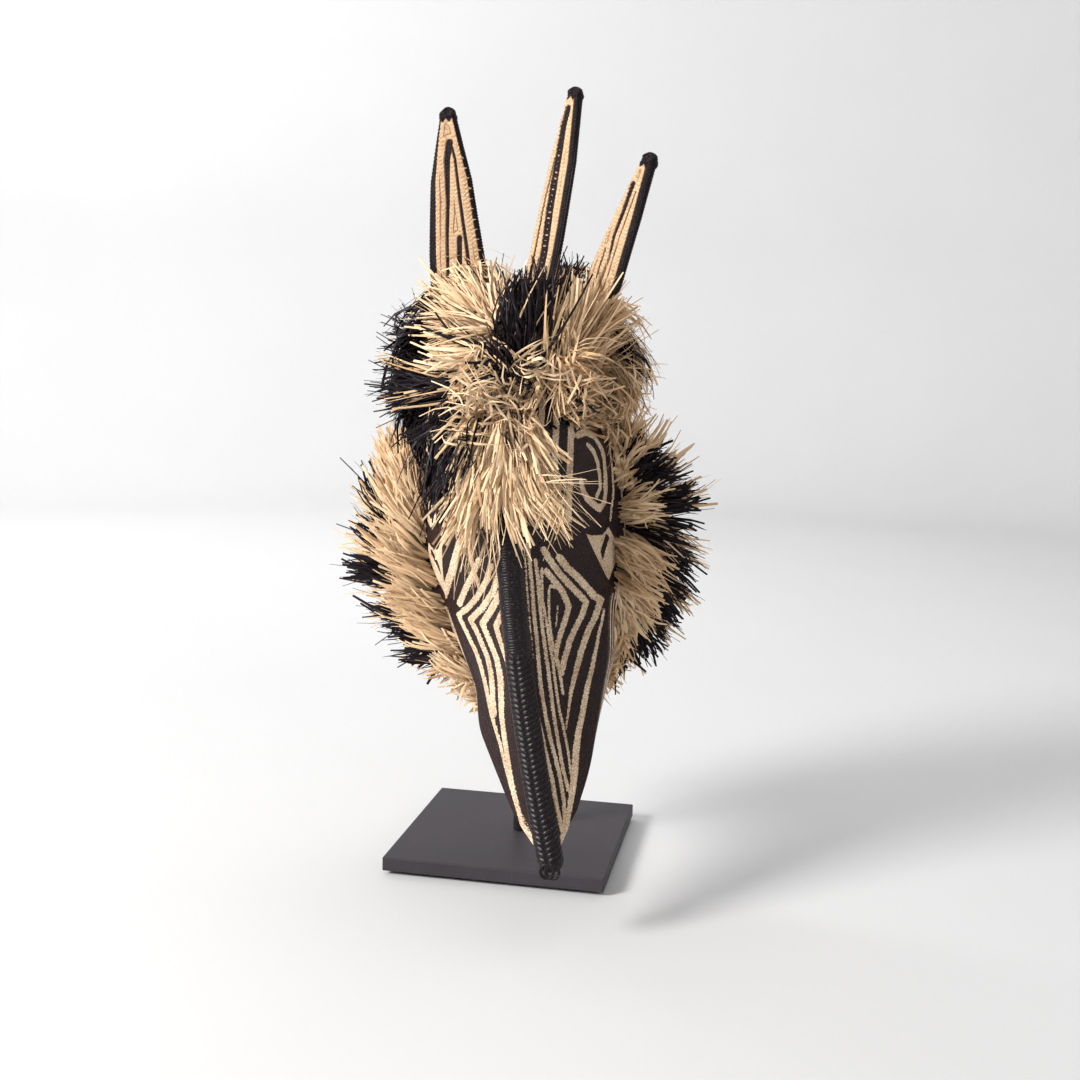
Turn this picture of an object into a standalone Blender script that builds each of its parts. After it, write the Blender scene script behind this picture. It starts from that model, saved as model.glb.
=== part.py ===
"""Woven bird mask with a fringed ruff and crest, standing on its own display stand.

Metres, +Z up. The origin lies on the floor under the middle of the whole object's box, +X
runs along the plate's front edge and the mask looks towards -Y.
"""
import math

import bmesh
import bpy
from mathutils import Vector

# Fits
GAP = 0.0003                 # air between two pieces that touch
CUT_GAP = 1.6 * GAP          # offset of a cutter, so that creases keep GAP too
SEAT_DEPTH = 0.004           # how far the shell's seat reaches behind its rim

# Base plate, feet and rod
PLATE_X = -0.0131            # middle of the plate, from the origin
PLATE_Y = 0.0461
PLATE_SIDE = 0.160
PLATE_THICKNESS = 0.010
PLATE_BEVEL = 0.0008
FOOT_RADIUS = 0.006
FOOT_HEIGHT = 0.003
FOOT_INSET = 0.0175          # foot centre to plate edge
ROD_RADIUS = 0.0045
ROD_X = 0.003                # rod foot, from the middle of the plate
ROD_BEND = 0.012             # radius of the rod's two bends
ARM_BELOW_RIM = 0.018        # arm's centre below the top of the mask's back opening
PAD_RADIUS = 0.010           # domed pad that the crown rests on
PAD_HEIGHT = 0.006
PAD_NECK = 0.002             # between the rod's end and the pad's widening
PAD_REACH = 0.052            # pad in front of the mask's back rim

# Mask shell, measured from the centre of its round back rim
RIM_X = PLATE_X + 0.010
RIM_Y = PLATE_Y - 0.035
RIM_Z = 0.241
RIM_RADIUS = 0.085
WALL = 0.0045
BEAK_REACH = 0.135           # beak tip in front of the rim
BEAK_DROP = 0.191            # beak tip below the rim's centre
CORNER_HALF = 0.0595         # half the beak's width at its root
CORNER_REACH = 0.051
CORNER_DROP = 0.0305
RIDGE_REACH = 0.111          # top of the beak's ridge, in front of the rim
RIDGE_RISE = 0.022
PANEL_HALF = 0.042           # half the face's width at the front of the eye panels
PANEL_REACH = 0.083
CROWN_RISE = 0.150
MASK_YAW = math.radians(7.0)     # the mask looks a little to its left
BEAK_LEAN = math.radians(5.4)    # the beak leans sideways below the forehead
BEAK_SWING = 0.0153              # and its tip swings this much further
BEAK_TILT = math.radians(7.0)    # one corner of the beak sits higher
LEFT_TUCK = 0.008                # how far the edge at -X lies in below the beak's corner
LEFT_TUCK_SPAN = (-0.105, 0.183, 0.42, 0.60)     # where it grows and fades, of BEAK_DROP
RIGHT_FLARE = 0.007              # how far the edge at +X stands out, lower down
RIGHT_FLARE_SPAN = (0.18, 0.42, 0.68, 0.93)
HEAD_SHIFT = -0.003          # middle of the face, from the middle of the rim
LEAN_DEPTH = 0.045           # the lean grows from the rim to this reach

# Bound ridge of the beak
RIDGE_BAND_RADIUS = 0.0085
RIDGE_BAND_PROUD = 0.0045    # how far its crest stands in front of the ridge
RIDGE_BAND_END = 0.003       # how far it runs on below the beak's tip
RIDGE_BAND_TOP = 0.016       # and above the ridge, under the forelock
RIDGE_BAND_STEPS = 8
RIDGE_BAND_END_STEPS = 3

# Fringes
LOCK_OVERHANG = 0.45         # how far a lock's end hangs over the next, in rows

# Ruff
RUFF_SPREAD_X = 0.0115       # middle of its section outside the shell's rim, at the sides
RUFF_SPREAD_Z = 0.004        # and above and below
RUFF_DEPTH = 0.036           # half its depth from front to back
RUFF_THICKNESS = 0.034       # half its radial thickness
RUFF_FORWARD = 0.016
RUFF_LOCKS = 40
RUFF_ROWS = 10
RUFF_LOCK_REACH = 0.012
RUFF_CLEARANCE = 0.001       # between the ruff and the head fringe

# Head fringe
HEAD_HALF_WIDTH = 0.080
HEAD_HALF_DEPTH = 0.060
HEAD_HALF_HEIGHT = 0.080
HEAD_FORWARD = 0.050
HEAD_BELOW_CROWN = 0.035     # middle of the cap below the shell's crown
HEAD_SKIRT = 0.036           # how far the cap reaches down at the sides and back
HEAD_LOCKS = 28
HEAD_ROWS = 15
HEAD_LOCK_REACH = 0.014
FORELOCK_REACH = 0.026       # how far the forelock stands out beyond the cap
FORELOCK_DROP = 0.116        # how far it hangs below the cap's middle
CHEEK_LOCK_DROP = 0.088      # the same for the locks over the cheek at -X

# Crest blades: root and tip from the middle of the crown, widths from root to tip, how far
# the middle bows towards -X, and the turn about the blade's own length
BLADE_THICKNESS = 0.0085
BLADE_TIP = 0.005            # length of its rounded end
BLADE_ROOT = 0.030           # length below the root that the crown's seat cuts away
BLADES = {
    "crest_blade_left": {
        "root": (-0.0310, 0.000, -0.018), "tip": (-0.0475, 0.000, 0.1385),
        "widths": (0.037, 0.037, 0.033, 0.024, 0.011), "bow": 0.0025,
        "turn": math.radians(4)},
    "crest_blade_centre": {
        "root": (0.0095, 0.002, -0.003), "tip": (0.0345, 0.000, 0.1500),
        "widths": (0.027, 0.027, 0.026, 0.022, 0.013), "bow": -0.0012,
        "turn": math.radians(-32)},
    "crest_blade_right": {
        "root": (0.0425, 0.005, -0.018), "tip": (0.0840, 0.000, 0.1090),
        "widths": (0.028, 0.028, 0.026, 0.020, 0.011), "bow": 0.0010,
        "turn": math.radians(-30)},
}

# Number of faces round and along each form
SHELL_ROUND = 44
SHELL_SIDE = 7
SHELL_FACE = 5
ROUND_SIDES = 12
BLADE_SIDES = 12
BLADE_STEPS = 8
BLADE_TIP_STEPS = 2

STEEL = {"color": (0.032, 0.030, 0.034), "roughness": 0.5, "metallic": 0.2}
RUBBER = {"color": (0.012, 0.012, 0.012), "roughness": 0.8, "metallic": 0.0}
WOVEN = {"color": (0.42, 0.30, 0.19), "roughness": 0.75, "metallic": 0.0}
BLACK_FIBRE = {"color": (0.020, 0.014, 0.016), "roughness": 0.45, "metallic": 0.0}
PALE_FIBRE = {"color": (0.72, 0.56, 0.36), "roughness": 0.7, "metallic": 0.0}


def smooth_step(value):
    """Ease from 0 to 1 as value goes from 0 to 1."""
    value = min(1.0, max(0.0, value))
    return value * value * (3.0 - 2.0 * value)


def mix(a, b, share):
    """Point or number at the given share of the way from a to b."""
    return a + (b - a) * share


def material(name, finish):
    """Principled material with one colour, roughness and metallic value."""
    made = bpy.data.materials.new(name)
    made.use_nodes = True
    shader = made.node_tree.nodes["Principled BSDF"]
    shader.inputs["Base Color"].default_value = (*finish["color"], 1.0)
    shader.inputs["Roughness"].default_value = finish["roughness"]
    shader.inputs["Metallic"].default_value = finish["metallic"]
    return made


def add_object(name, bm, finish, smooth=True):
    """Put a finished bmesh into the scene as a named object with its own material."""
    bmesh.ops.remove_doubles(bm, verts=bm.verts, dist=0.00001)
    bmesh.ops.dissolve_degenerate(bm, dist=0.00001, edges=bm.edges)
    bmesh.ops.triangulate(bm, faces=[face for face in bm.faces if len(face.verts) > 3])
    bmesh.ops.recalc_face_normals(bm, faces=bm.faces)
    mesh = bpy.data.meshes.new(name)
    bm.to_mesh(mesh)
    bm.free()
    made = bpy.data.objects.new(name, mesh)
    bpy.context.collection.objects.link(made)
    made.data.materials.append(material(name, finish))
    if smooth:
        mesh.shade_smooth()
        mesh.set_sharp_from_angle(angle=math.radians(40))
    return made


def make_cutter(made):
    """Turn an object into a cutter that is neither rendered nor built."""
    made.hide_render = True
    made.display_type = "WIRE"
    return made


def cut(target, cutter):
    """Subtract cutter from target."""
    boolean = target.modifiers.new("cut_" + cutter.name, "BOOLEAN")
    boolean.operation = "DIFFERENCE"
    boolean.solver = "EXACT"
    boolean.object = cutter


def surface(steps_round, steps_along, point):
    """Grid whose vertices are moved to point(share round, share along); seams merge later."""
    bm = bmesh.new()
    bmesh.ops.create_grid(bm, x_segments=steps_round, y_segments=steps_along, size=0.5)
    for vert in bm.verts:
        vert.co = point(vert.co.x + 0.5, vert.co.y + 0.5)
    return bm


# Mask shell

def place(x, forward, up):
    """Point of the mask, given from the rim's centre, in the part's frame."""
    ahead = smooth_step(forward / LEAN_DEPTH)
    below = max(0.0, RIDGE_RISE - up)
    fade = 1.0 - smooth_step((up - RIDGE_RISE) / (CROWN_RISE - RIDGE_RISE))
    up = up + ahead * fade * x * math.tan(BEAK_TILT)
    x = x + ahead * (HEAD_SHIFT + below * math.tan(BEAK_LEAN)
                         + BEAK_SWING * (below / (RIDGE_RISE + BEAK_DROP)) ** 2)
    return Vector((RIM_X + x * math.cos(MASK_YAW) + forward * math.sin(MASK_YAW),
                   RIM_Y + x * math.sin(MASK_YAW) - forward * math.cos(MASK_YAW),
                   RIM_Z + up))


def mask_stations():
    """Points that shape the shell, from the keel under the beak up to the crown.

    Each station has the angle of its point on the rim, then the waist behind the face, the
    shoulder where side meets front, the bulge of the front and its end on the ridge line.
    """
    tip = Vector((0.0, BEAK_REACH, -BEAK_DROP))
    ridge_top = Vector((0.0, RIDGE_REACH, RIDGE_RISE))
    corner = Vector((CORNER_HALF, CORNER_REACH, -CORNER_DROP))
    rim_low = Vector((0.0, 0.0, -RIM_RADIUS))

    def on_ridge(height):
        return mix(tip, ridge_top, (height + BEAK_DROP) / (RIDGE_RISE + BEAK_DROP))

    def waist(across, reach, rise):
        return Vector((RIM_RADIUS * across, BEAK_REACH * reach, CROWN_RISE * rise))

    edge = mix(tip, corner, 0.5) + Vector((0.0048, 0.0, 0.0))
    low_edge = mix(tip, corner, 0.2) + Vector((0.0072, 0.0, 0.0))
    corner_ridge = on_ridge(-CORNER_DROP)
    cheek = Vector((PANEL_HALF, PANEL_REACH, RIDGE_RISE))
    temple = Vector((PANEL_HALF - 0.002, PANEL_REACH, RIDGE_RISE + 0.042))
    brow = Vector((PANEL_HALF - 0.007, PANEL_REACH - 0.004, CROWN_RISE - 0.032))
    crown = Vector((0.0, PANEL_REACH - 0.008, CROWN_RISE - 0.006))
    cheek_ridge = on_ridge(0.0)
    temple_ridge = on_ridge(RIDGE_RISE * 0.5)
    brow_ridge = on_ridge(RIDGE_RISE * 0.8)
    front = Vector((0.0, 0.014, 0.0))
    return [
        (-90, mix(rim_low, tip, 0.48) - Vector((0.0, 0.003, 0.005)), tip, tip, tip),
        (-74, mix(rim_low, low_edge, 0.5) + Vector((0.014, -0.003, -0.002)), low_edge,
         mix(low_edge, on_ridge(low_edge.z), 0.5), on_ridge(low_edge.z)),
        (-55, mix(rim_low, edge, 0.55) + Vector((0.026, -0.006, 0.006)), edge,
         mix(edge, on_ridge(edge.z), 0.5), on_ridge(edge.z)),
        (-20, mix(Vector((RIM_RADIUS * 0.94, 0.0, -CORNER_DROP)), corner, 0.45), corner,
         mix(corner, corner_ridge, 0.5), corner_ridge),
        (15, waist(0.85, 0.15, 0.13), cheek, mix(cheek, cheek_ridge, 0.5), cheek_ridge),
        (42, waist(0.87, 0.15, 0.44), temple,
         mix(temple, temple_ridge, 0.5) + front, temple_ridge),
        (66, waist(0.61, 0.12, 0.80), brow,
         mix(brow, brow_ridge, 0.5) + front * 1.6, brow_ridge),
        (90, waist(0.0, 0.06, 1.12), crown,
         mix(crown, ridge_top, 0.5) + front * 1.8, ridge_top),
    ]


STATIONS = mask_stations()


def at_angle(degrees):
    """Waist, shoulder, front bulge and ridge point at an angle round the rim."""
    last = len(STATIONS) - 2
    for index, (low, high) in enumerate(zip(STATIONS, STATIONS[1:])):
        if degrees <= high[0] or index == last:
            share = min(1.0, (degrees - low[0]) / (high[0] - low[0]))
            points = [mix(a, b, share) for a, b in zip(low[1:], high[1:])]
            if index == last:
                round_off = share * (1.0 - share)      # the crown is domed from side to side
                for point, a, b in zip(points, low[1:], high[1:]):
                    point.z += (b.z - a.z) * round_off
                    point.y += (b.y - a.y) * round_off
            return points


def bend(start, control, end, share):
    """Quadratic curve from start to end, drawn towards control."""
    return (start * (1 - share) ** 2 + control * 2 * share * (1 - share) + end * share ** 2)


def edge_shift(x, forward, up):
    """How far a point of the beak moves towards +X, since its two edges aren't alike."""
    drop = -up / BEAK_DROP
    half = CORNER_HALF * max(0.05, (up + BEAK_DROP) / (BEAK_DROP - CORNER_DROP))
    weight = min(1.0, abs(x) / half) ** 1.5 * smooth_step(forward / LEAN_DEPTH)
    amount = LEFT_TUCK if x < 0 else RIGHT_FLARE
    start, full, fading, end = LEFT_TUCK_SPAN if x < 0 else RIGHT_FLARE_SPAN
    rising = smooth_step((drop - start) / (full - start))
    return weight * amount * rising * (1.0 - smooth_step((drop - fading) / (end - fading)))


def mask_point(turn, along):
    """Point of the shell's outer skin before it is placed.

    turn is the angle round the rim, -90 under the beak and 90 over the crown, and along
    goes from 0 at the rim through 1 at the shoulder to 2 on the ridge line.
    """
    side = 1.0
    if turn > 90:
        turn = 180 - turn
        side = -1.0
    waist, shoulder, bulge, ridge = at_angle(turn)
    angle = math.radians(turn)
    rim = Vector((RIM_RADIUS * math.cos(angle), 0.0, RIM_RADIUS * math.sin(angle)))
    if along <= 1.0:
        point = bend(rim, waist, shoulder, along)
    else:
        point = bend(shoulder, bulge, ridge, along - 1.0)
    x = point.x * side
    return Vector((x + edge_shift(x, point.y, point.z), point.y, point.z))


def cavity_point(point):
    """Point of the inner skin that lies behind a point of the outer skin."""
    across = 1.0 - WALL / RIM_RADIUS
    height = CROWN_RISE if point.z > 0 else RIM_RADIUS
    return Vector((point.x * across, point.y * across, point.z * (1.0 - WALL / height)))


def skin_grid(grow):
    """Outer skin of the mask as a grid from the rim to the ridge line, grown outwards."""
    rows = [index / SHELL_SIDE for index in range(SHELL_SIDE)]
    rows += [1.0 + index / SHELL_FACE for index in range(SHELL_FACE + 1)]

    def point(round_share, along_share):
        along = rows[round(along_share * (len(rows) - 1))]
        return mask_point(-90 + 360 * round_share, along)

    bm = surface(SHELL_ROUND, len(rows) - 1, point)
    bmesh.ops.remove_doubles(bm, verts=bm.verts, dist=0.00001)
    bmesh.ops.recalc_face_normals(bm, faces=bm.faces)
    middle = Vector((0.0, BEAK_REACH * 0.3, 0.0))
    face = max(bm.faces, key=lambda each: each.calc_center_median().z)
    if face.normal.dot(face.calc_center_median() - middle) < 0:
        bmesh.ops.reverse_faces(bm, faces=bm.faces)
    bm.normal_update()
    if grow:
        moved = [vert.co + vert.normal * grow for vert in bm.verts]
        for vert, co in zip(bm.verts, moved):
            vert.co = co
    return bm


def rim_edges(bm):
    """Open edges of a skin grid, along the rim."""
    return [edge for edge in bm.edges if edge.is_boundary]


def mask_shell():
    """Hollow woven shell, open at the back inside its rim."""
    bm = skin_grid(0.0)
    copy = bmesh.ops.duplicate(bm, geom=bm.verts[:] + bm.edges[:] + bm.faces[:])
    inner = [item for item in copy["geom"] if isinstance(item, bmesh.types.BMVert)]
    for vert in inner:
        vert.co = cavity_point(vert.co)
    inner_faces = [item for item in copy["geom"] if isinstance(item, bmesh.types.BMFace)]
    bmesh.ops.reverse_faces(bm, faces=inner_faces)
    bmesh.ops.bridge_loops(bm, edges=rim_edges(bm))
    for vert in bm.verts:
        vert.co = place(*vert.co)
    return add_object("mask_shell", bm, WOVEN)


def shell_cutter():
    """The shell's full volume, grown by the gap, that clears a seat in what lies on it."""
    bm = skin_grid(CUT_GAP)
    back = bmesh.ops.extrude_edge_only(bm, edges=rim_edges(bm))
    pushed = [item for item in back["geom"] if isinstance(item, bmesh.types.BMVert)]
    for vert in pushed:
        vert.co.y -= SEAT_DEPTH
    bmesh.ops.holes_fill(bm, edges=rim_edges(bm), sides=0)
    for vert in bm.verts:
        vert.co = place(*vert.co)
    return make_cutter(add_object("shell_cutter", bm, WOVEN, smooth=False))


# Round bars

def bar(path, radii, sides, squash=1.0):
    """Closed round bar through the path's points, with one radius at each point."""
    ends = len(path) - 1

    def point(round_share, along_share):
        index = round(along_share * (ends + 2)) - 1
        station = min(max(index, 0), ends)
        ahead = path[min(station + 1, ends)] - path[max(station - 1, 0)]
        ahead.normalize()
        across = ahead.orthogonal() if abs(ahead.x) > 0.9 else Vector((1, 0, 0))
        across = (across - ahead * across.dot(ahead)).normalized()
        upright = ahead.cross(across)
        radius = 0.0 if index != station else radii[station]
        angle = 2 * math.pi * round_share
        return (path[station] + across * radius * math.cos(angle)
                + upright * radius * squash * math.sin(angle))

    return surface(sides, ends + 2, point)


def rounded_path(corners, radius, steps):
    """Path through the corners, with each inner corner rounded to an arc."""
    path = [corners[0]]
    for before, corner, after in zip(corners, corners[1:], corners[2:]):
        start = corner + (before - corner).normalized() * radius
        end = corner + (after - corner).normalized() * radius
        centre = start + end - corner
        for step in range(steps + 1):
            angle = math.pi / 2 * step / steps
            path.append(centre + (start - centre) * math.cos(angle)
                        + (end - centre) * math.sin(angle))
    path.append(corners[-1])
    return path


# Stand

def base_plate():
    """Square steel plate with softened edges."""
    bm = bmesh.new()
    bmesh.ops.create_cube(bm, size=1.0)
    bmesh.ops.scale(bm, vec=(PLATE_SIDE, PLATE_SIDE, PLATE_THICKNESS), verts=bm.verts)
    bmesh.ops.translate(bm, vec=(PLATE_X, PLATE_Y, FOOT_HEIGHT + PLATE_THICKNESS / 2),
                        verts=bm.verts)
    bmesh.ops.bevel(bm, geom=bm.edges[:], offset=PLATE_BEVEL, segments=2, affect="EDGES",
                    profile=0.5)
    return add_object("base_plate", bm, STEEL)


def foot(name, x, y):
    """Round rubber bumper under a corner of the plate."""
    top = FOOT_HEIGHT - GAP
    path = [Vector((x, y, top)), Vector((x, y, 0.4 * top)), Vector((x, y, 0.0))]
    radii = (FOOT_RADIUS, FOOT_RADIUS * 0.97, FOOT_RADIUS * 0.75)
    return add_object(name, bar(path, radii, ROUND_SIDES), RUBBER)


def pad_top():
    """Where the rod's pad meets the inside of the crown."""
    lowest = CROWN_RISE
    for turn in range(40, 141, 2):
        for step in range(10, 60):
            inner = cavity_point(mask_point(turn, step / 30))
            if math.hypot(inner.x, inner.y - PAD_REACH) < PAD_RADIUS:
                lowest = min(lowest, inner.z)
    return place(0.0, PAD_REACH, lowest) - Vector((0, 0, GAP))


def stand_rod():
    """Steel rod that rises behind the mask, reaches into it and ends in a domed pad."""
    plate_top = FOOT_HEIGHT + PLATE_THICKNESS
    foot_point = Vector((PLATE_X + ROD_X, PLATE_Y, plate_top + GAP))
    arm_z = RIM_Z + RIM_RADIUS - ARM_BELOW_RIM
    top = pad_top()
    corners = [foot_point, Vector((foot_point.x, foot_point.y, arm_z)),
               Vector((top.x, top.y, arm_z)),
               top - Vector((0, 0, PAD_HEIGHT + PAD_NECK))]
    path = rounded_path(corners, ROD_BEND, 3)
    radii = [ROD_RADIUS] * len(path)
    path += [top - Vector((0, 0, PAD_HEIGHT)), top - Vector((0, 0, PAD_HEIGHT * 0.4)), top]
    radii += [PAD_RADIUS * 0.9, PAD_RADIUS, PAD_RADIUS * 0.45]
    return add_object("stand_rod", bar(path, radii, ROUND_SIDES), STEEL)


# Ridge band

def ridge_cord(grow):
    """Round cord along the beak's ridge, from the forehead to its rounded end at the tip."""
    low = -BEAK_DROP - RIDGE_BAND_END
    high = RIDGE_RISE + RIDGE_BAND_TOP
    heights = []
    radii = []
    for step in range(RIDGE_BAND_END_STEPS):
        angle = math.pi / 2 * (step + 1) / (RIDGE_BAND_END_STEPS + 1)
        heights.append(low + RIDGE_BAND_RADIUS * (1 - math.cos(angle)))
        radii.append(RIDGE_BAND_RADIUS * math.sin(angle) + grow)
    for step in range(RIDGE_BAND_STEPS + 1):
        heights.append(mix(low + RIDGE_BAND_RADIUS, high, step / RIDGE_BAND_STEPS))
        radii.append(RIDGE_BAND_RADIUS + grow)
    path = []
    for height in heights:
        share = (height + BEAK_DROP) / (RIDGE_RISE + BEAK_DROP)
        reach = mix(BEAK_REACH, RIDGE_REACH, share) + RIDGE_BAND_PROUD - RIDGE_BAND_RADIUS
        path.append(place(0.0, reach, height))
    return bar(path, radii, ROUND_SIDES)


# Fringes

def scatter(first, second):
    """Repeatable value from 0 to 1 that looks random."""
    value = math.sin(first * 12.9898 + second * 78.233) * 43758.5453
    return value - math.floor(value)


def lock_rise(column, row, columns):
    """Share from 0 to 1 of the way along its lock that a fringe vertex stands.

    Even columns are the partings between the locks, and every lock starts at its own height.
    """
    column = column % columns
    if column % 2 == 0:
        return 0.0
    start = int(3 * scatter(column, 7))
    return (row + start) % 3 / 2


def lock_lift(column, row, columns):
    """Lift from 0 to 1 of a fringe vertex: each lock rises along its length and then ends."""
    column = column % columns
    if column % 2 == 0:
        return 0.12 * scatter(column, row)
    return 0.3 + lock_rise(column, row, columns) * (0.4 + 0.3 * scatter(column, row))


def rim_frame(x, forward, up):
    """Point given from the rim's centre, turned with the mask but not leant."""
    return Vector((RIM_X + x * math.cos(MASK_YAW) + forward * math.sin(MASK_YAW),
                   RIM_Y + x * math.sin(MASK_YAW) - forward * math.cos(MASK_YAW),
                   RIM_Z + up))


def ring_point(turn, tube, grow):
    """Point on the ruff's ring: turn goes round the mask, tube round the ring's section."""
    middle_x = RIM_RADIUS + RUFF_SPREAD_X
    middle_z = RIM_RADIUS + RUFF_SPREAD_Z
    out = (RUFF_THICKNESS + grow) * math.cos(tube)
    forward = RUFF_FORWARD + (RUFF_DEPTH + grow) * math.sin(tube)
    return rim_frame((middle_x + out) * math.cos(turn), forward,
                     (middle_z + out) * math.sin(turn))


def ruff():
    """Ring of tufted fibre round the back of the mask."""
    columns = 2 * RUFF_LOCKS

    def point(round_share, along_share):
        column = round(round_share * columns)
        row = round(along_share * RUFF_ROWS) % RUFF_ROWS
        outwards = min(row, RUFF_ROWS - row)
        grow = RUFF_LOCK_REACH * (lock_lift(column, outwards, columns) - 1.0)
        shift = LOCK_OVERHANG * lock_rise(column, outwards, columns) / RUFF_ROWS
        if row > RUFF_ROWS / 2:
            shift = -shift
        tube = math.pi * (2 * (along_share + shift) - 1)
        return ring_point(2 * math.pi * round_share, tube, grow)

    return add_object("ruff_fringe", surface(columns, RUFF_ROWS, point), PALE_FIBRE)


def ruff_cutter():
    """Plain ring round the ruff that keeps the head fringe clear of it."""

    def point(round_share, along_share):
        return ring_point(2 * math.pi * round_share, 2 * math.pi * along_share,
                          RUFF_CLEARANCE)

    cutter = add_object("ruff_cutter", surface(40, 12, point), PALE_FIBRE)
    return make_cutter(cutter)


def head_fringe():
    """Tufted cap over the crown, with the forelock that hangs over the ridge's root."""
    columns = 2 * HEAD_LOCKS

    def point(round_share, along_share):
        column = round(round_share * columns)
        row = round(along_share * HEAD_ROWS)
        end = row in (0, HEAD_ROWS)
        shift = 0.0 if end else LOCK_OVERHANG * lock_rise(column, row, columns) / HEAD_ROWS
        around = 2 * math.pi * round_share
        polar = math.pi * min(1.0, along_share + shift)
        front = max(0.0, math.cos(around)) ** 1.5
        cheek = max(0.0, -math.sin(around)) ** 2 * (1 - front)
        grow = 0.0 if end else HEAD_LOCK_REACH * (lock_lift(column, row, columns) - 0.5)
        ring = math.sin(polar) ** 0.85
        low = smooth_step((polar - 1.0) / 0.9)
        reach = HEAD_HALF_DEPTH + grow + FORELOCK_REACH * front * low
        drop = mix(HEAD_SKIRT, FORELOCK_DROP, front) + (CHEEK_LOCK_DROP - HEAD_SKIRT) * cheek
        drop = mix(HEAD_SKIRT, drop, smooth_step(ring * 1.5))
        height = HEAD_HALF_HEIGHT if polar < math.pi / 2 else drop
        up = math.copysign(abs(math.cos(polar)) ** 0.85, math.cos(polar)) * (height + grow)
        return place((HEAD_HALF_WIDTH + grow) * math.sin(around) * ring,
                     HEAD_FORWARD + reach * math.cos(around) * ring,
                     CROWN_RISE - HEAD_BELOW_CROWN + up)

    return add_object("head_fringe", surface(columns, HEAD_ROWS, point), PALE_FIBRE)


# Crest blades

def blade(spec, grow):
    """Flat woven blade with corded edges and a rounded tip."""
    crown_middle = Vector((RIM_X, RIM_Y - HEAD_FORWARD, RIM_Z + CROWN_RISE))
    root = crown_middle + Vector(spec["root"])
    tip = crown_middle + Vector(spec["tip"])
    ahead = (tip - root).normalized()
    side = Vector((math.cos(spec["turn"]), math.sin(spec["turn"]), 0.0))
    side = (side - ahead * side.dot(ahead)).normalized()
    facing = ahead.cross(side)
    start = root - ahead * BLADE_ROOT
    length = (tip - start).length
    body = length - BLADE_TIP
    stations = [(body * step / BLADE_STEPS, 1.0) for step in range(BLADE_STEPS + 1)]
    for step in range(BLADE_TIP_STEPS):
        angle = math.pi / 2 * (step + 1) / (BLADE_TIP_STEPS + 0.5)
        stations.append((body + BLADE_TIP * math.sin(angle), math.cos(angle)))
    last = len(stations) - 1
    widths = spec["widths"]

    def point(round_share, along_share):
        index = round(along_share * (last + 2)) - 1
        station = min(max(index, 0), last)
        distance, squeeze = stations[station]
        along = distance / length
        share = along * (len(widths) - 1)
        lower = min(int(share), len(widths) - 2)
        half = mix(widths[lower], widths[lower + 1], share - lower) / 2 * squeeze + grow
        bowed = 4 * spec["bow"] * along * (1 - along)
        depth = BLADE_THICKNESS / 2 * squeeze ** 0.5 + grow
        if index != station:
            half = 0.0
            depth = 0.0
        angle = 2 * math.pi * round_share
        across = math.copysign(abs(math.cos(angle)) ** 0.8, math.cos(angle))
        thick = math.sin(angle) * (0.62 + 0.38 * abs(math.cos(angle)))
        offset = -grow if station == 0 else (grow if station == last else 0.0)
        return (start + ahead * (distance + offset)
                + side * (half * across - bowed) + facing * depth * thick)

    return surface(BLADE_SIDES, last + 2, point)


def build():
    """Clear the scene and make every piece."""
    for old in list(bpy.data.objects):
        bpy.data.objects.remove(old)
    base_plate()
    reach = PLATE_SIDE / 2 - FOOT_INSET
    for depth_name, y in (("front", -reach), ("back", reach)):
        for side_name, x in (("left", -reach), ("right", reach)):
            foot("foot_%s_%s" % (depth_name, side_name), PLATE_X + x, PLATE_Y + y)
    stand_rod()
    mask_shell()
    seat = shell_cutter()
    ridge = add_object("beak_ridge", ridge_cord(0.0), BLACK_FIBRE)
    cut(ridge, seat)
    collar = ruff()
    cut(collar, seat)
    cap = head_fringe()
    cut(cap, seat)
    cut(cap, ruff_cutter())
    cut(cap, make_cutter(add_object("beak_ridge_slot", ridge_cord(CUT_GAP), BLACK_FIBRE)))
    for name, spec in BLADES.items():
        piece = add_object(name, blade(spec, 0.0), BLACK_FIBRE)
        cut(piece, seat)
        slot = make_cutter(add_object(name + "_slot", blade(spec, CUT_GAP), BLACK_FIBRE))
        cut(cap, slot)


build()
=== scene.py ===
import math

import bpy
import numpy as np
from mathutils import Matrix, Vector


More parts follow.
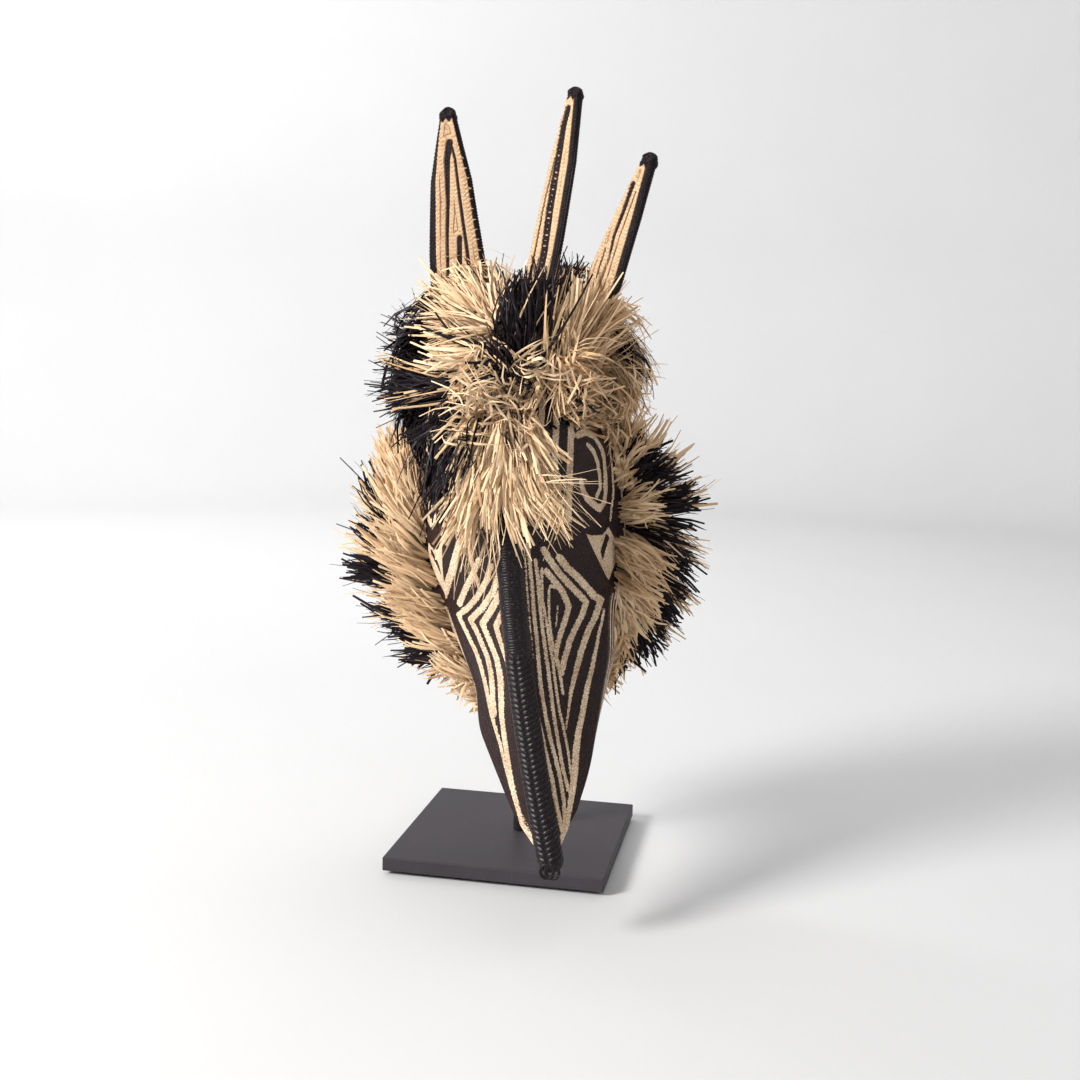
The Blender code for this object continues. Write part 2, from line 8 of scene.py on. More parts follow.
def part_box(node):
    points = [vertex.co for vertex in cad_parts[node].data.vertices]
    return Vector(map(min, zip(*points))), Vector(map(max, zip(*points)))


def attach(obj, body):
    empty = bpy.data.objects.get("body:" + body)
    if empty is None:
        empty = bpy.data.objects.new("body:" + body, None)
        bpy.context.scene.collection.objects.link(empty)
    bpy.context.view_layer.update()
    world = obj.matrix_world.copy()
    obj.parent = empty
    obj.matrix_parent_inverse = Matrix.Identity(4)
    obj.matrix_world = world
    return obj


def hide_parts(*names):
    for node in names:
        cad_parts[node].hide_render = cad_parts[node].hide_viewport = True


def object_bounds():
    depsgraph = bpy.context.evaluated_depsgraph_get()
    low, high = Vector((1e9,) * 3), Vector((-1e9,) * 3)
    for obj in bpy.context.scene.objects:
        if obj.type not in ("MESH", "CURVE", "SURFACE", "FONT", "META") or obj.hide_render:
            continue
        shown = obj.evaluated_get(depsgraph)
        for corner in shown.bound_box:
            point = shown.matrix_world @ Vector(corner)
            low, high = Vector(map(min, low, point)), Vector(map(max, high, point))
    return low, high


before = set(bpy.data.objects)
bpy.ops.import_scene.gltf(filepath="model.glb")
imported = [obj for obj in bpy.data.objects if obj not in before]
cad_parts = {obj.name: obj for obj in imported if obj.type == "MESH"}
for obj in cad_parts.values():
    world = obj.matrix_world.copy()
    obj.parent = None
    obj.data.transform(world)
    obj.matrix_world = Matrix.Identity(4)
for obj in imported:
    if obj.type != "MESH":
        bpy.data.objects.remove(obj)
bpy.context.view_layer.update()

plateLow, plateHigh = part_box("base_plate")
standTop = np.array([(plateLow.x + plateHigh.x) / 2, (plateLow.y + plateHigh.y) / 2, plateHigh.z])


def deselectAll():
    if bpy.context.object and bpy.context.object.mode != "OBJECT":
        bpy.ops.object.mode_set(mode="OBJECT")
    bpy.ops.object.select_all(action="DESELECT")


def smoothStep(value):
    value = np.clip(value, 0.0, 1.0)
    return value * value * (3.0 - 2.0 * value)


def node(tree, kind, inputs=None, **settings):
    made = tree.nodes.new("ShaderNode" + kind)
    for key, value in settings.items():
        setattr(made, key, value)
    for key, value in (inputs or {}).items():
        if isinstance(value, bpy.types.NodeSocket):
            tree.links.new(value, made.inputs[key])
        else:
            made.inputs[key].default_value = value
    return made


def maths(tree, operation, first, second=0.0):
    return node(tree, "Math", {0: first, 1: second}, operation=operation).outputs[0]


def mixColour(tree, factor, first, second):
    made = node(tree, "Mix", {0: factor, 6: first, 7: second}, data_type="RGBA")
    return made.outputs[2]


def rescale(tree, value, low, high, newLow=0.0, newHigh=1.0):
    made = node(tree, "MapRange", {"Value": value, "From Min": low, "From Max": high,
                                   "To Min": newLow, "To Max": newHigh})
    return made.outputs["Result"]


def attribute(tree, name):
    return node(tree, "Attribute", attribute_name=name).outputs["Fac"]


def newMaterial(name, roughness, gloss=0.15):
    made = bpy.data.materials.new(name)
    made.use_nodes = True
    tree = made.node_tree
    shader = tree.nodes["Principled BSDF"]
    shader.inputs["Roughness"].default_value = roughness
    shader.inputs["Specular IOR Level"].default_value = gloss
    return made, tree, shader


def setColour(tree, shader, colour, roughness=None):
    tree.links.new(colour, shader.inputs["Base Color"])
    if roughness is not None:
        tree.links.new(roughness, shader.inputs["Roughness"])


def setBump(tree, shader, height, strength, distance):
    bump = node(tree, "Bump", {"Height": height, "Strength": strength, "Distance": distance})
    tree.links.new(bump.outputs[0], shader.inputs["Normal"])


def storeValues(mesh, name, values):
    layer = mesh.attributes.new(name, "FLOAT", "POINT")
    layer.data.foreach_set("value", np.asarray(values, np.float32))


def faceCorners(mesh):            # the number of the point at each corner of each face
    corners = np.zeros(len(mesh.loops), int)
    mesh.loops.foreach_get("vertex_index", corners)
    return corners


def storeSpots(mesh, name, spots):       # where each corner lies on a flat pattern
    if not mesh.uv_layers:
        mesh.uv_layers.new()
    mesh.uv_layers[0].name = name
    mesh.uv_layers[name].data.foreach_set("uv", np.asarray(spots, np.float32).ravel())


def finishPiece(piece, name, slot, material, *nodes):
    piece.name = name
    piece.data.name = name
    piece.data.materials.clear()
    piece.data.materials.append(material)
    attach(piece, "root")
    if nodes:
        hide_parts(*nodes)


def addGrid(columns, rows):       # a flat grid and each corner's share across and up
    deselectAll()
    bpy.ops.mesh.primitive_grid_add(x_subdivisions=columns, y_subdivisions=rows, size=1.0)
    piece = bpy.context.object
    flat = np.zeros(len(piece.data.vertices) * 3)
    piece.data.vertices.foreach_get("co", flat)
    flat = flat.reshape(-1, 3)
    return piece, flat[:, 0] + 0.5, flat[:, 1] + 0.5


def setPoints(piece, points):
    piece.data.vertices.foreach_set("co", np.asarray(points, np.float32).ravel())
    piece.data.update()


def closeSeams(piece):            # merges doubles and turns the faces outwards
    deselectAll()
    piece.select_set(True)
    bpy.context.view_layer.objects.active = piece
    bpy.ops.object.mode_set(mode="EDIT")
    bpy.ops.mesh.select_all(action="SELECT")
    bpy.ops.mesh.remove_doubles(threshold=0.000002)
    bpy.ops.mesh.select_all(action="SELECT")
    bpy.ops.mesh.normals_make_consistent(inside=False)
    bpy.ops.object.mode_set(mode="OBJECT")


def smoothPiece(piece, degrees=60):
    deselectAll()
    piece.select_set(True)
    bpy.context.view_layer.objects.active = piece
    bpy.ops.object.shade_smooth_by_angle(angle=math.radians(degrees))


def liftPoints(piece, heights):   # moves every point along its normal
    mesh = piece.data
    points = np.zeros(len(mesh.vertices) * 3)
    normals = np.zeros(len(mesh.vertices) * 3)
    mesh.vertices.foreach_get("co", points)
    mesh.vertex_normals.foreach_get("vector", normals)
    setPoints(piece, points.reshape(-1, 3) + normals.reshape(-1, 3) * heights[:, None])


# signed distance from points to lines that have a width at each of their corners
def lineField(points, lines):
    nearest = np.full(len(points), 1e3)
    for width, corners in lines:
        corners = np.array(corners, float)
        steps = np.linalg.norm(np.diff(corners, axis=0), axis=1)
        travel = np.concatenate([[0.0], np.cumsum(steps)]) / steps.sum()
        widths = np.interp(travel, np.linspace(0, 1, len(width)), width)
        for index in range(len(corners) - 1):
            start, step = corners[index], corners[index + 1] - corners[index]
            share = np.clip((points - start) @ step / (step @ step), 0, 1)
            away = np.linalg.norm(points - start - share[:, None] * step, axis=1)
            half = (widths[index] + (widths[index + 1] - widths[index]) * share) / 2
            nearest = np.minimum(nearest, away - half)
    return nearest


def patchField(points, corners):  # signed distance to the edge of a patch
    corners = np.array(corners, float)
    inside = np.zeros(len(points), bool)
    nearest = np.full(len(points), 1e3)
    for start, end in zip(corners, np.roll(corners, -1, axis=0)):
        step = end - start
        share = np.clip((points - start) @ step / (step @ step), 0, 1)
        away = np.linalg.norm(points - start - share[:, None] * step, axis=1)
        nearest = np.minimum(nearest, away)
        crosses = (start[1] > points[:, 1]) != (end[1] > points[:, 1])
        with np.errstate(divide="ignore", invalid="ignore"):
            at = start[0] + (points[:, 1] - start[1]) / step[1] * step[0]
        inside ^= crosses & (points[:, 0] < at)
    return np.where(inside, -nearest, nearest)


# the mask's own frame: across, forward and up from the middle of its back rim

mask = {
    "rim": standTop + (0.010, -0.035, 0.228), "rimRadius": 0.085, "wall": 0.0045,
    "beakReach": 0.135, "beakDrop": 0.191, "corner": (0.0595, 0.051, -0.0305),
    "ridgeReach": 0.111, "ridgeRise": 0.022, "panelHalf": 0.042, "panelReach": 0.083,
    "crownRise": 0.150, "yaw": math.radians(7.0), "lean": math.radians(5.4),
    "swing": 0.0153, "tilt": math.radians(7.0), "shift": -0.003, "leanDepth": 0.045,
    "tuck": (0.008, -0.105, 0.183, 0.42, 0.60), "flare": (0.007, 0.18, 0.42, 0.68, 0.93),
}


def rimFrame(across, forward, up):
    turn = mask["yaw"]
    across, forward, up = np.broadcast_arrays(across, forward, up)
    return mask["rim"] + np.stack([across * math.cos(turn) + forward * math.sin(turn),
                                   across * math.sin(turn) - forward * math.cos(turn), up], -1)


def place(across, forward, up):
    across, forward, up = (np.asarray(value, float) for value in (across, forward, up))
    ahead = smoothStep(forward / mask["leanDepth"])
    below = np.maximum(0.0, mask["ridgeRise"] - up)
    fade = 1.0 - smoothStep((up - mask["ridgeRise"]) / (mask["crownRise"] - mask["ridgeRise"]))
    up = up + ahead * fade * across * math.tan(mask["tilt"])
    length = mask["ridgeRise"] + mask["beakDrop"]
    across = across + ahead * (mask["shift"] + below * math.tan(mask["lean"])
                               + mask["swing"] * (below / length) ** 2)
    return rimFrame(across, forward, up)


def maskStations():               # rim angle, waist, shoulder, bulge and ridge point
    tip = np.array([0.0, mask["beakReach"], -mask["beakDrop"]])
    ridgeTop = np.array([0.0, mask["ridgeReach"], mask["ridgeRise"]])
    corner = np.array(mask["corner"])
    radius, crownRise = mask["rimRadius"], mask["crownRise"]
    half, reach, rise = mask["panelHalf"], mask["panelReach"], mask["ridgeRise"]
    rimLow = np.array([0.0, 0.0, -radius])

    def onRidge(height):
        return tip + (ridgeTop - tip) * (height + mask["beakDrop"]) / (rise + mask["beakDrop"])

    def waist(across, forward, up):
        return np.array([radius * across, mask["beakReach"] * forward, crownRise * up])

    edge = tip + (corner - tip) * 0.5 + (0.0048, 0, 0)
    lowEdge = tip + (corner - tip) * 0.2 + (0.0072, 0, 0)
    cornerRidge = onRidge(corner[2])
    cheek = np.array([half, reach, rise])
    temple = np.array([half - 0.002, reach, rise + 0.042])
    brow = np.array([half - 0.007, reach - 0.004, crownRise - 0.032])
    crown = np.array([0.0, reach - 0.008, crownRise - 0.006])
    front = np.array([0.0, 0.014, 0.0])
    sideRim = np.array([radius * 0.94, 0.0, corner[2]])
    return [
        (-90, rimLow + (tip - rimLow) * 0.48 - (0, 0.003, 0.005), tip, tip, tip),
        (-74, (rimLow + lowEdge) / 2 + (0.014, -0.003, -0.002), lowEdge,
         (lowEdge + onRidge(lowEdge[2])) / 2, onRidge(lowEdge[2])),
        (-55, rimLow + (edge - rimLow) * 0.55 + (0.026, -0.006, 0.006), edge,
         (edge + onRidge(edge[2])) / 2, onRidge(edge[2])),
        (-20, sideRim + (corner - sideRim) * 0.45, corner, (corner + cornerRidge) / 2,
         cornerRidge),
        (15, waist(0.85, 0.15, 0.13), cheek, (cheek + onRidge(0.0)) / 2, onRidge(0.0)),
        (42, waist(0.87, 0.15, 0.44), temple, (temple + onRidge(rise * 0.5)) / 2 + front,
         onRidge(rise * 0.5)),
        (66, waist(0.61, 0.12, 0.80), brow, (brow + onRidge(rise * 0.8)) / 2 + front * 1.6,
         onRidge(rise * 0.8)),
        (90, waist(0.0, 0.06, 1.12), crown, (crown + ridgeTop) / 2 + front * 1.8, ridgeTop),
    ]


stationTurns = np.array([station[0] for station in maskStations()], float)
stationPoints = np.array([station[1:] for station in maskStations()])


def bend(start, control, end, share):
    share = share[:, None]
    return start * (1 - share) ** 2 + control * 2 * share * (1 - share) + end * share ** 2


def edgeShift(across, forward, up):      # one edge of the beak is tucked in, one flares
    drop = -up / mask["beakDrop"]
    reach = (up + mask["beakDrop"]) / (mask["beakDrop"] + mask["corner"][2])
    weight = np.minimum(1.0, np.abs(across) / (mask["corner"][0] * np.maximum(0.05, reach))) ** 1.5
    shift = across * 0
    for side, (amount, start, full, fading, end) in ((-1, mask["tuck"]), (1, mask["flare"])):
        span = smoothStep((drop - start) / (full - start)) \
            * (1 - smoothStep((drop - fading) / (end - fading)))
        shift += np.where(across * side > 0, amount * span, 0.0)
    return weight * smoothStep(forward / mask["leanDepth"]) * shift


def maskPoint(turn, along):       # along is 0 at the rim, 1 at the shoulder, 2 on the ridge
    turn, along = (np.atleast_1d(np.asarray(value, float)) for value in (turn, along))
    side = np.where(turn > 90, -1.0, 1.0)
    turn = np.where(turn > 90, 180.0 - turn, turn)
    last = len(stationTurns) - 2
    lower = np.clip(np.searchsorted(stationTurns, turn) - 1, 0, last)
    share = np.clip((turn - stationTurns[lower]) / np.diff(stationTurns)[lower], 0, 1)
    low, high = stationPoints[lower], stationPoints[lower + 1]
    points = low + (high - low) * share[:, None, None]
    dome = np.where(lower == last, share * (1 - share), 0.0)
    points[..., 1:] += (high - low)[..., 1:] * dome[:, None, None]
    angle = np.radians(turn)
    radius = mask["rimRadius"]
    rim = np.stack([radius * np.cos(angle), angle * 0, radius * np.sin(angle)], -1)
    sidePart = bend(rim, points[:, 0], points[:, 1], np.minimum(along, 1.0))
    facePart = bend(points[:, 1], points[:, 2], points[:, 3], np.maximum(along - 1.0, 0.0))
    point = np.where((along <= 1.0)[:, None], sidePart, facePart)
    point[:, 0] *= side
    point[:, 0] += edgeShift(*point.T)
    return point


def cavityPoint(point):
    flat = 1.0 - mask["wall"] / mask["rimRadius"]
    height = np.where(point[:, 2] > 0, mask["crownRise"], mask["rimRadius"])
    up = 1.0 - mask["wall"] / height
    return np.stack([point[:, 0] * flat, point[:, 1] * flat, point[:, 2] * up], -1)


# woven stripes of the face, in millimetres across and up, each with its widths along it

leftStripes = [
    ((5.4,), ((-33, 12.7), (-41.6, -6.2), (-52.3, -26.1))),
    ((4.3,), ((-20.5, 1.9), (-27.8, -10.5), (-34.6, -20.6), (-40.5, -30.5))),
    ((4.0, 3.4, 1.8), ((-12.4, -1.6), (-17.3, -12.4), (-24.4, -22.3), (-33.1, -31.5),
                       (-42.3, -38.4), (-38.1, -46.8), (-31.3, -60.6), (-26.1, -76.4),
                       (-21.6, -91.5), (-18.5, -104.1), (-16, -114.9), (-14.6, -127.8),
                       (-12.8, -142.8), (-10.8, -156.1))),
    ((4.0,), ((-6.7, -5.2), (-12.9, -18.5), (-22.5, -30.5), (-32.9, -39.7), (-28.2, -48),
              (-22.6, -62), (-20.1, -75.4), (-18.8, -87.2), (-17.9, -97.8))),
    ((4.4, 4.4, 3.4, 2.2), ((-5.9, -16.6), (-15.9, -31), (-23.6, -40.8), (-20.3, -48.8),
                            (-15.9, -60.2), (-13.7, -73.9), (-12.5, -88.7), (-12.1, -103.6),
                            (-12.1, -117.2), (-11.9, -133.5), (-10.8, -149.3),
                            (-9.1, -167.9), (-4.8, -183))),
    ((4.0, 4.0, 1.5, 0.6), ((-6.7, -29.9), (-13.4, -40.7), (-12, -46.9), (-9.1, -59.2),
                            (-7.7, -70.2), (-6.9, -80.8), (-6.7, -86.8))),
]
rightStripes = [
    ((1.0, 2.6, 2.6), ((7.6, -96.4), (9.1, -124.8), (9.9, -139.5), (9.9, -148.9),
                       (10.2, -159.6), (10.5, -171.2), (6.6, -180))),
    ((0.8, 1.0, 0.5), ((9.8, 13.6), (9.6, -1.8), (9.1, -20.3), (8.8, -41.8), (9, -50.6),
                       (8.5, -61))),
    ((2.2, 2.2, 2.4), ((11.8, 10.6), (12.2, -4.4), (12.2, -17.3), (11.7, -33.9), (11.8, -50.9),
              (11, -80.1), (11.5, -98.1), (12.6, -113.6), (13.8, -126.4), (14.7, -136.1),
              (14.6, -151.3), (12.3, -169.1))),
    ((2.1,), ((15.6, -0.7), (16.1, -13.7), (15.6, -22.1), (15.6, -39.4), (16.1, -60.3),
              (16.5, -73), (16.3, -95.3), (16.6, -111.1), (16.8, -122), (17.3, -133),
              (18.4, -145.6))),
    ((1.5, 1.6, 1.4), ((18.8, -7.1), (17.3, -27.1), (18, -36.7), (18.9, -53), (19.6, -65.9),
                       (19.7, -82.7), (20, -96.6), (21.1, -108.4), (21.7, -123.7),
                       (21.2, -135.8))),
    ((3.6, 3.6, 1.5), ((21.2, -9), (25.4, -16.8), (29.5, -24.5), (32.4, -35.8), (30.2, -41.8),
                       (26.6, -49.4), (23.3, -57.6), (21.7, -64.7), (23, -71.9),
                       (23.2, -78.7), (23.4, -87.8))),
    ((1.5,), ((21.7, -64.7), (20.7, -55.9), (20.2, -44.9), (20.3, -36.3), (21.7, -21.8),
              (23.2, -19.3), (26, -21.6))),
    ((0.8,), ((26, -32.9), (23.7, -46))),
    ((3.8,), ((20.9, 5.2), (24.9, -4.6), (29.6, -13.8), (34.6, -22.2), (39.5, -29.9),
              (43.2, -35.8), (40, -43.1), (35.2, -50.1), (31.1, -56.7), (27, -66.2),
              (23.8, -74.8))),
    ((4.3, 4.3, 3.8, 0.8), ((29.9, -2.1), (34.1, -10.4), (39.2, -17.2), (43.5, -24.6),
                            (48.5, -33.3), (52.4, -37), (48, -46.7), (43.1, -53.4),
                            (38.9, -61.5), (35.6, -68.9), (32, -78), (28.3, -87.7),
                            (25.4, -98.2), (22.6, -108.8))),
    ((1.5, 3.3, 4.4, 2.4), ((53.9, -43.6), (52.1, -50), (49.1, -57.6), (45.8, -68.1),
                            (42.4, -78), (38.7, -87), (33.4, -102.7), (29.5, -113.1),
                            (26.6, -123.6), (24, -135.1), (20.8, -146.6), (17.5, -155.7),
                            (12.8, -169.1), (9, -176))),
]

# the eye panel on the side of the face, in millimetres forward and up

panelPatch = ((82, 13.4), (68, 7.6), (53, 5.2), (44, 9.3), (37, -0.4), (40, -16.6), (51, -24.9),
              (56, -26.2))
panelWedge = ((48, 5.6), (44, 2.3), (52, -6.5), (56, -12.6), (58, -5.2))
panelLines = [
    ((2.4,), ((28, 76.5), (36, 62.7), (35, 48.2), (35, 34), (36, 27), (39, 18.5), (41, 13.5))),
    ((5.0,), ((77, 76.6), (66, 77.9), (55, 74.1), (50, 66.4), (46, 57.7), (45, 45), (45, 34.5),
              (47, 26.2), (53, 22.7), (62, 27.7), (70, 33.1), (74, 38.7), (76, 45.1))),
    ((4.0,), ((57, 31.9), (52, 36.9), (53, 46), (55, 54.8), (60, 63), (66, 68.8))),
]


faceWeave = {       # plain rows where no drawn stripe lies, in millimetres
    "spread": 5.0, "foreheadUp": 19, "foreheadPitch": 9, "foreheadHalf": 1.9,
    "bandUp": 85, "bandFrom": 40, "sidePitch": 12, "sideTo": 26, "sideHalf": 2.5,
    "keelPitch": 7.5, "keelHalf": 1.7, "keelEdge": 4, "keelTurn": -22,
}


def faceField(point, along, turn):       # below 0 is cream, above it black
    across, forward, up = (point * 1000).T
    spread = faceWeave["spread"] * smoothStep((-6 - across) / 9) * smoothStep((-62 - up) / 40)
    flat = np.stack([across + spread, up], -1)
    face = np.where(across < 0, lineField(flat, leftStripes), lineField(flat, rightStripes))
    pitch = faceWeave["foreheadPitch"]
    forehead = np.abs((np.abs(across) + 3) % pitch - pitch / 2) - faceWeave["foreheadHalf"]
    face = np.where(up > faceWeave["foreheadUp"], forehead, face)
    profile = np.stack([forward, up], -1)
    patch = np.maximum(patchField(profile, panelPatch), -patchField(profile, panelWedge))
    panel = np.minimum(lineField(profile, panelLines), patch)
    band = np.abs(up - faceWeave["bandUp"]) - faceWeave["sideHalf"]
    panel = np.minimum(panel, np.maximum(band, faceWeave["bandFrom"] - forward))
    pitch = faceWeave["sidePitch"]
    behind = np.abs((forward + 4) % pitch - pitch / 2) - faceWeave["sideHalf"]
    panel = np.minimum(panel, behind + (forward > faceWeave["sideTo"]) * 9)
    below = (1 - along) * 95
    keel = np.abs((below + 1) % faceWeave["keelPitch"] - 4) - faceWeave["keelHalf"] \
        + (below < faceWeave["keelEdge"]) * 6
    side = np.where(np.where(turn > 90, 180 - turn, turn) > faceWeave["keelTurn"], panel, keel)
    return np.where(along >= 1, face, side)


def weaveMaterial(name):
    made, tree, shader = newMaterial(name, 0.72, 0.16)
    mapping = node(tree, "UVMap", uv_map="stitches").outputs[0]
    cells = node(tree, "TexVoronoi", {"Vector": mapping, "Scale": 0.95, "Randomness": 0.55})
    grain = node(tree, "TexNoise", {"Vector": mapping, "Scale": 2.6, "Detail": 5.0})
    patches = node(tree, "TexNoise", {"Vector": mapping, "Scale": 0.06, "Detail": 3.0})
    rough = maths(tree, "MULTIPLY", maths(tree, "SUBTRACT", cells.outputs["Distance"], 0.45), 0.9)
    nibble = maths(tree, "MULTIPLY", maths(tree, "SUBTRACT", grain.outputs[0], 0.5), 0.9)
    edge = maths(tree, "ADD", maths(tree, "ADD", attribute(tree, "stripe"), rough), nibble)
    dark = rescale(tree, edge, -0.15, 0.15)
    split = node(tree, "SeparateColor", {0: cells.outputs["Color"]})
    creamLow = mixColour(tree, split.outputs[0], (0.60, 0.39, 0.24, 1), (0.84, 0.63, 0.44, 1))
    cream = mixColour(tree, rescale(tree, patches.outputs[0], 0.35, 0.65), creamLow,
                      (0.91, 0.72, 0.51, 1))
    # painted highlight: sparse pale specks on the black stitches stand in for glints
    paleSpots = rescale(tree, split.outputs[1], 0.86, 0.90)
    paintedGlint = maths(tree, "MULTIPLY", paleSpots, rescale(tree, cells.outputs["Distance"], 0.34, 0.22))
    blackLow = mixColour(tree, split.outputs[2], (0.007, 0.0035, 0.005, 1),
                         (0.015, 0.008, 0.010, 1))
    black = mixColour(tree, maths(tree, "MULTIPLY", paintedGlint, 0.35), blackLow, (0.22, 0.13, 0.09, 1))
    colour = mixColour(tree, dark, cream, black)
    # painted shade: each stitch is darkened towards its edges, in the creases between stitches
    creaseShade = rescale(tree, cells.outputs["Distance"], 0.25, 0.75)
    shadowed = mixColour(tree, maths(tree, "MULTIPLY", creaseShade, 0.55), colour,
                         (0.045, 0.023, 0.018, 1))
    setColour(tree, shader, shadowed, rescale(tree, dark, 0.0, 1.0, 0.78, 0.42))
    height = maths(tree, "ADD", maths(tree, "MULTIPLY", cells.outputs["Distance"], -1.0),
                   maths(tree, "MULTIPLY", grain.outputs[0], 0.35))
    setBump(tree, shader, height, 0.75, 0.0005)
    return made


maskShell = {
    "name": "maskShell", "slot": "woven_stripe", "node": "mask_shell",
    "turns": ((-90, -20, 190), (-20, 15, 45), (15, 90, 75)), "sideRows": 44, "faceRows": 76,
    "relief": 0.00038, "liningStep": 4, "liningRows": 24,
}


def shellTurns(step=1):
    half = [-90.0]
    for low, high, count in maskShell["turns"]:
        half += list(np.linspace(low, high, count + 1)[1:])
    half = half[::step] if half[-1] == half[::step][-1] else half[::step] + half[-1:]
    return np.array(half + [180.0 - turn for turn in half[-2::-1]])


def addSkin(turns, alongs, inner):       # the outer skin with its stripes, or the plain lining
    piece, shareRound, shareUp = addGrid(len(turns) - 1, len(alongs) - 1)
    columns = np.rint(shareRound * (len(turns) - 1)).astype(int)
    rows = np.rint(shareUp * (len(alongs) - 1)).astype(int)
    turn, along = turns[columns], alongs[rows]
    point = maskPoint(turn, along)
    field = np.full(len(turn), 6.0) if inner else faceField(point, along, turn)
    storeValues(piece.data, "stripe", field)
    corners = faceCorners(piece.data)
    lowRow = np.repeat(rows[corners].reshape(-1, 4).min(1), 4)
    onFace = alongs[lowRow] >= 1.0
    spots = np.where(onFace[:, None], point[corners][:, [0, 2]], point[corners][:, [1, 2]])
    storeSpots(piece.data, "stitches", spots * 1000)
    setPoints(piece, place(*(cavityPoint(point) if inner else point).T))
    closeSeams(piece)
    return piece


def addShell():
    sideAlongs = np.linspace(0, 1, maskShell["sideRows"] + 1)
    faceAlongs = 1 + np.linspace(0, 1, maskShell["faceRows"] + 1)[1:]
    outer = addSkin(shellTurns(), np.concatenate([sideAlongs, faceAlongs]), False)
    stripe = np.zeros(len(outer.data.vertices), np.float32)
    outer.data.attributes["stripe"].data.foreach_get("value", stripe)
    lift = np.clip(-stripe * 1.4 + 0.3, 0, 1) * maskShell["relief"]
    lining = addSkin(shellTurns(maskShell["liningStep"]),
                     np.linspace(0, 2, maskShell["liningRows"] + 1), True)
    liftPoints(outer, lift)
    deselectAll()
    lining.select_set(True)
    outer.select_set(True)
    bpy.context.view_layer.objects.active = outer
    bpy.ops.object.join()
    bpy.ops.object.mode_set(mode="EDIT")
    bpy.ops.mesh.select_mode(type="EDGE")
    bpy.ops.mesh.select_all(action="DESELECT")
    bpy.ops.mesh.select_non_manifold()
    bpy.ops.mesh.bridge_edge_loops()
    bpy.ops.mesh.select_all(action="SELECT")
    bpy.ops.mesh.normals_make_consistent(inside=False)
    bpy.ops.object.mode_set(mode="OBJECT")
    smoothPiece(outer, 50)
    finishPiece(outer, maskShell["name"], maskShell["slot"], weaveMaterial("wovenStripe"),
                maskShell["node"])


addShell()
print("mask shell woven")


# round cords and bars

def addTube(path, radius, sides):        # radius has one value for each point and side
    path = np.array(path)
    piece, shareRound, shareUp = addGrid(sides, len(path) + 1)
    column = np.rint(shareRound * sides).astype(int)
    station = np.rint(shareUp * (len(path) + 1)).astype(int) - 1
    held = np.clip(station, 0, len(path) - 1)
    ahead = np.gradient(path, axis=0)
    ahead /= np.linalg.norm(ahead, axis=1)[:, None]
    across = np.where(np.abs(ahead[:, :1]) > 0.9, [[0.0, 1.0, 0.0]], [[1.0, 0.0, 0.0]])
    across = across - ahead * np.sum(across * ahead, 1)[:, None]
    across /= np.linalg.norm(across, axis=1)[:, None]
    upright = np.cross(ahead, across)
    angle = 2 * np.pi * shareRound
    size = np.where(held == station, radius[held, column % sides], 0.0)[:, None]
    setPoints(piece, path[held] + across[held] * size * np.cos(angle)[:, None]
              + upright[held] * size * np.sin(angle)[:, None])
    return piece, held, angle


def roundedPath(corners, radius, steps):
    corners = [np.array(corner, float) for corner in corners]
    path = [corners[0]]
    for before, corner, after in zip(corners, corners[1:], corners[2:]):
        start = corner + (before - corner) / np.linalg.norm(before - corner) * radius
        end = corner + (after - corner) / np.linalg.norm(after - corner) * radius
        centre = start + end - corner
        for step in range(steps + 1):
            angle = math.pi / 2 * step / steps
            path.append(centre + (start - centre) * math.cos(angle)
                        + (end - centre) * math.sin(angle))
    return path + [corners[-1]]


# stand

def coatedMaterial(name, colour, roughness):
    made, tree, shader = newMaterial(name, roughness)
    spot = node(tree, "TexCoord").outputs["Object"]
    grit = node(tree, "TexNoise", {"Vector": spot, "Scale": 2600.0, "Detail": 2.0})
    cloud = node(tree, "TexNoise", {"Vector": spot, "Scale": 14.0, "Detail": 4.0})
    stretched = node(tree, "Mapping", {"Vector": spot, "Scale": (900.0, 22.0, 60.0),
                                       "Rotation": (0.0, 0.0, 0.6)}).outputs[0]
    scuffs = node(tree, "TexNoise", {"Vector": stretched, "Scale": 1.0, "Detail": 2.0})
    marks = rescale(tree, scuffs.outputs[0], 0.70, 0.74)
    bright = tuple(min(1.0, part * 1.9 + 0.01) for part in colour) + (1,)
    tint = mixColour(tree, rescale(tree, cloud.outputs[0], 0.3, 0.7), (*colour, 1),
                     tuple(part * 1.25 for part in colour) + (1,))
    tinted = mixColour(tree, maths(tree, "MULTIPLY", marks, 0.5), tint, bright)
    setColour(tree, shader, tinted,
              rescale(tree, cloud.outputs[0], 0.2, 0.8, roughness - 0.06, roughness + 0.08))
    setBump(tree, shader, grit.outputs[0], 0.25, 0.0002)
    return made


def rubberMaterial(name):
    made, tree, shader = newMaterial(name, 0.75)
    spot = node(tree, "TexCoord").outputs["Object"]
    dust = node(tree, "TexNoise", {"Vector": spot, "Scale": 700.0, "Detail": 3.0})
    colour = mixColour(tree, dust.outputs[0], (0.008, 0.008, 0.009, 1), (0.030, 0.029, 0.030, 1))
    setColour(tree, shader, colour)
    setBump(tree, shader, dust.outputs[0], 0.3, 0.0003)
    return made


def setFinish(name, material):
    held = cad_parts[name].data
    held.materials.clear()
    held.materials.append(material)


setFinish("base_plate", coatedMaterial("plateCoat", (0.040, 0.035, 0.041), 0.52))
for depthName in ("front", "back"):
    for sideName in ("left", "right"):
        setFinish("foot_%s_%s" % (depthName, sideName), rubberMaterial("bumper"))

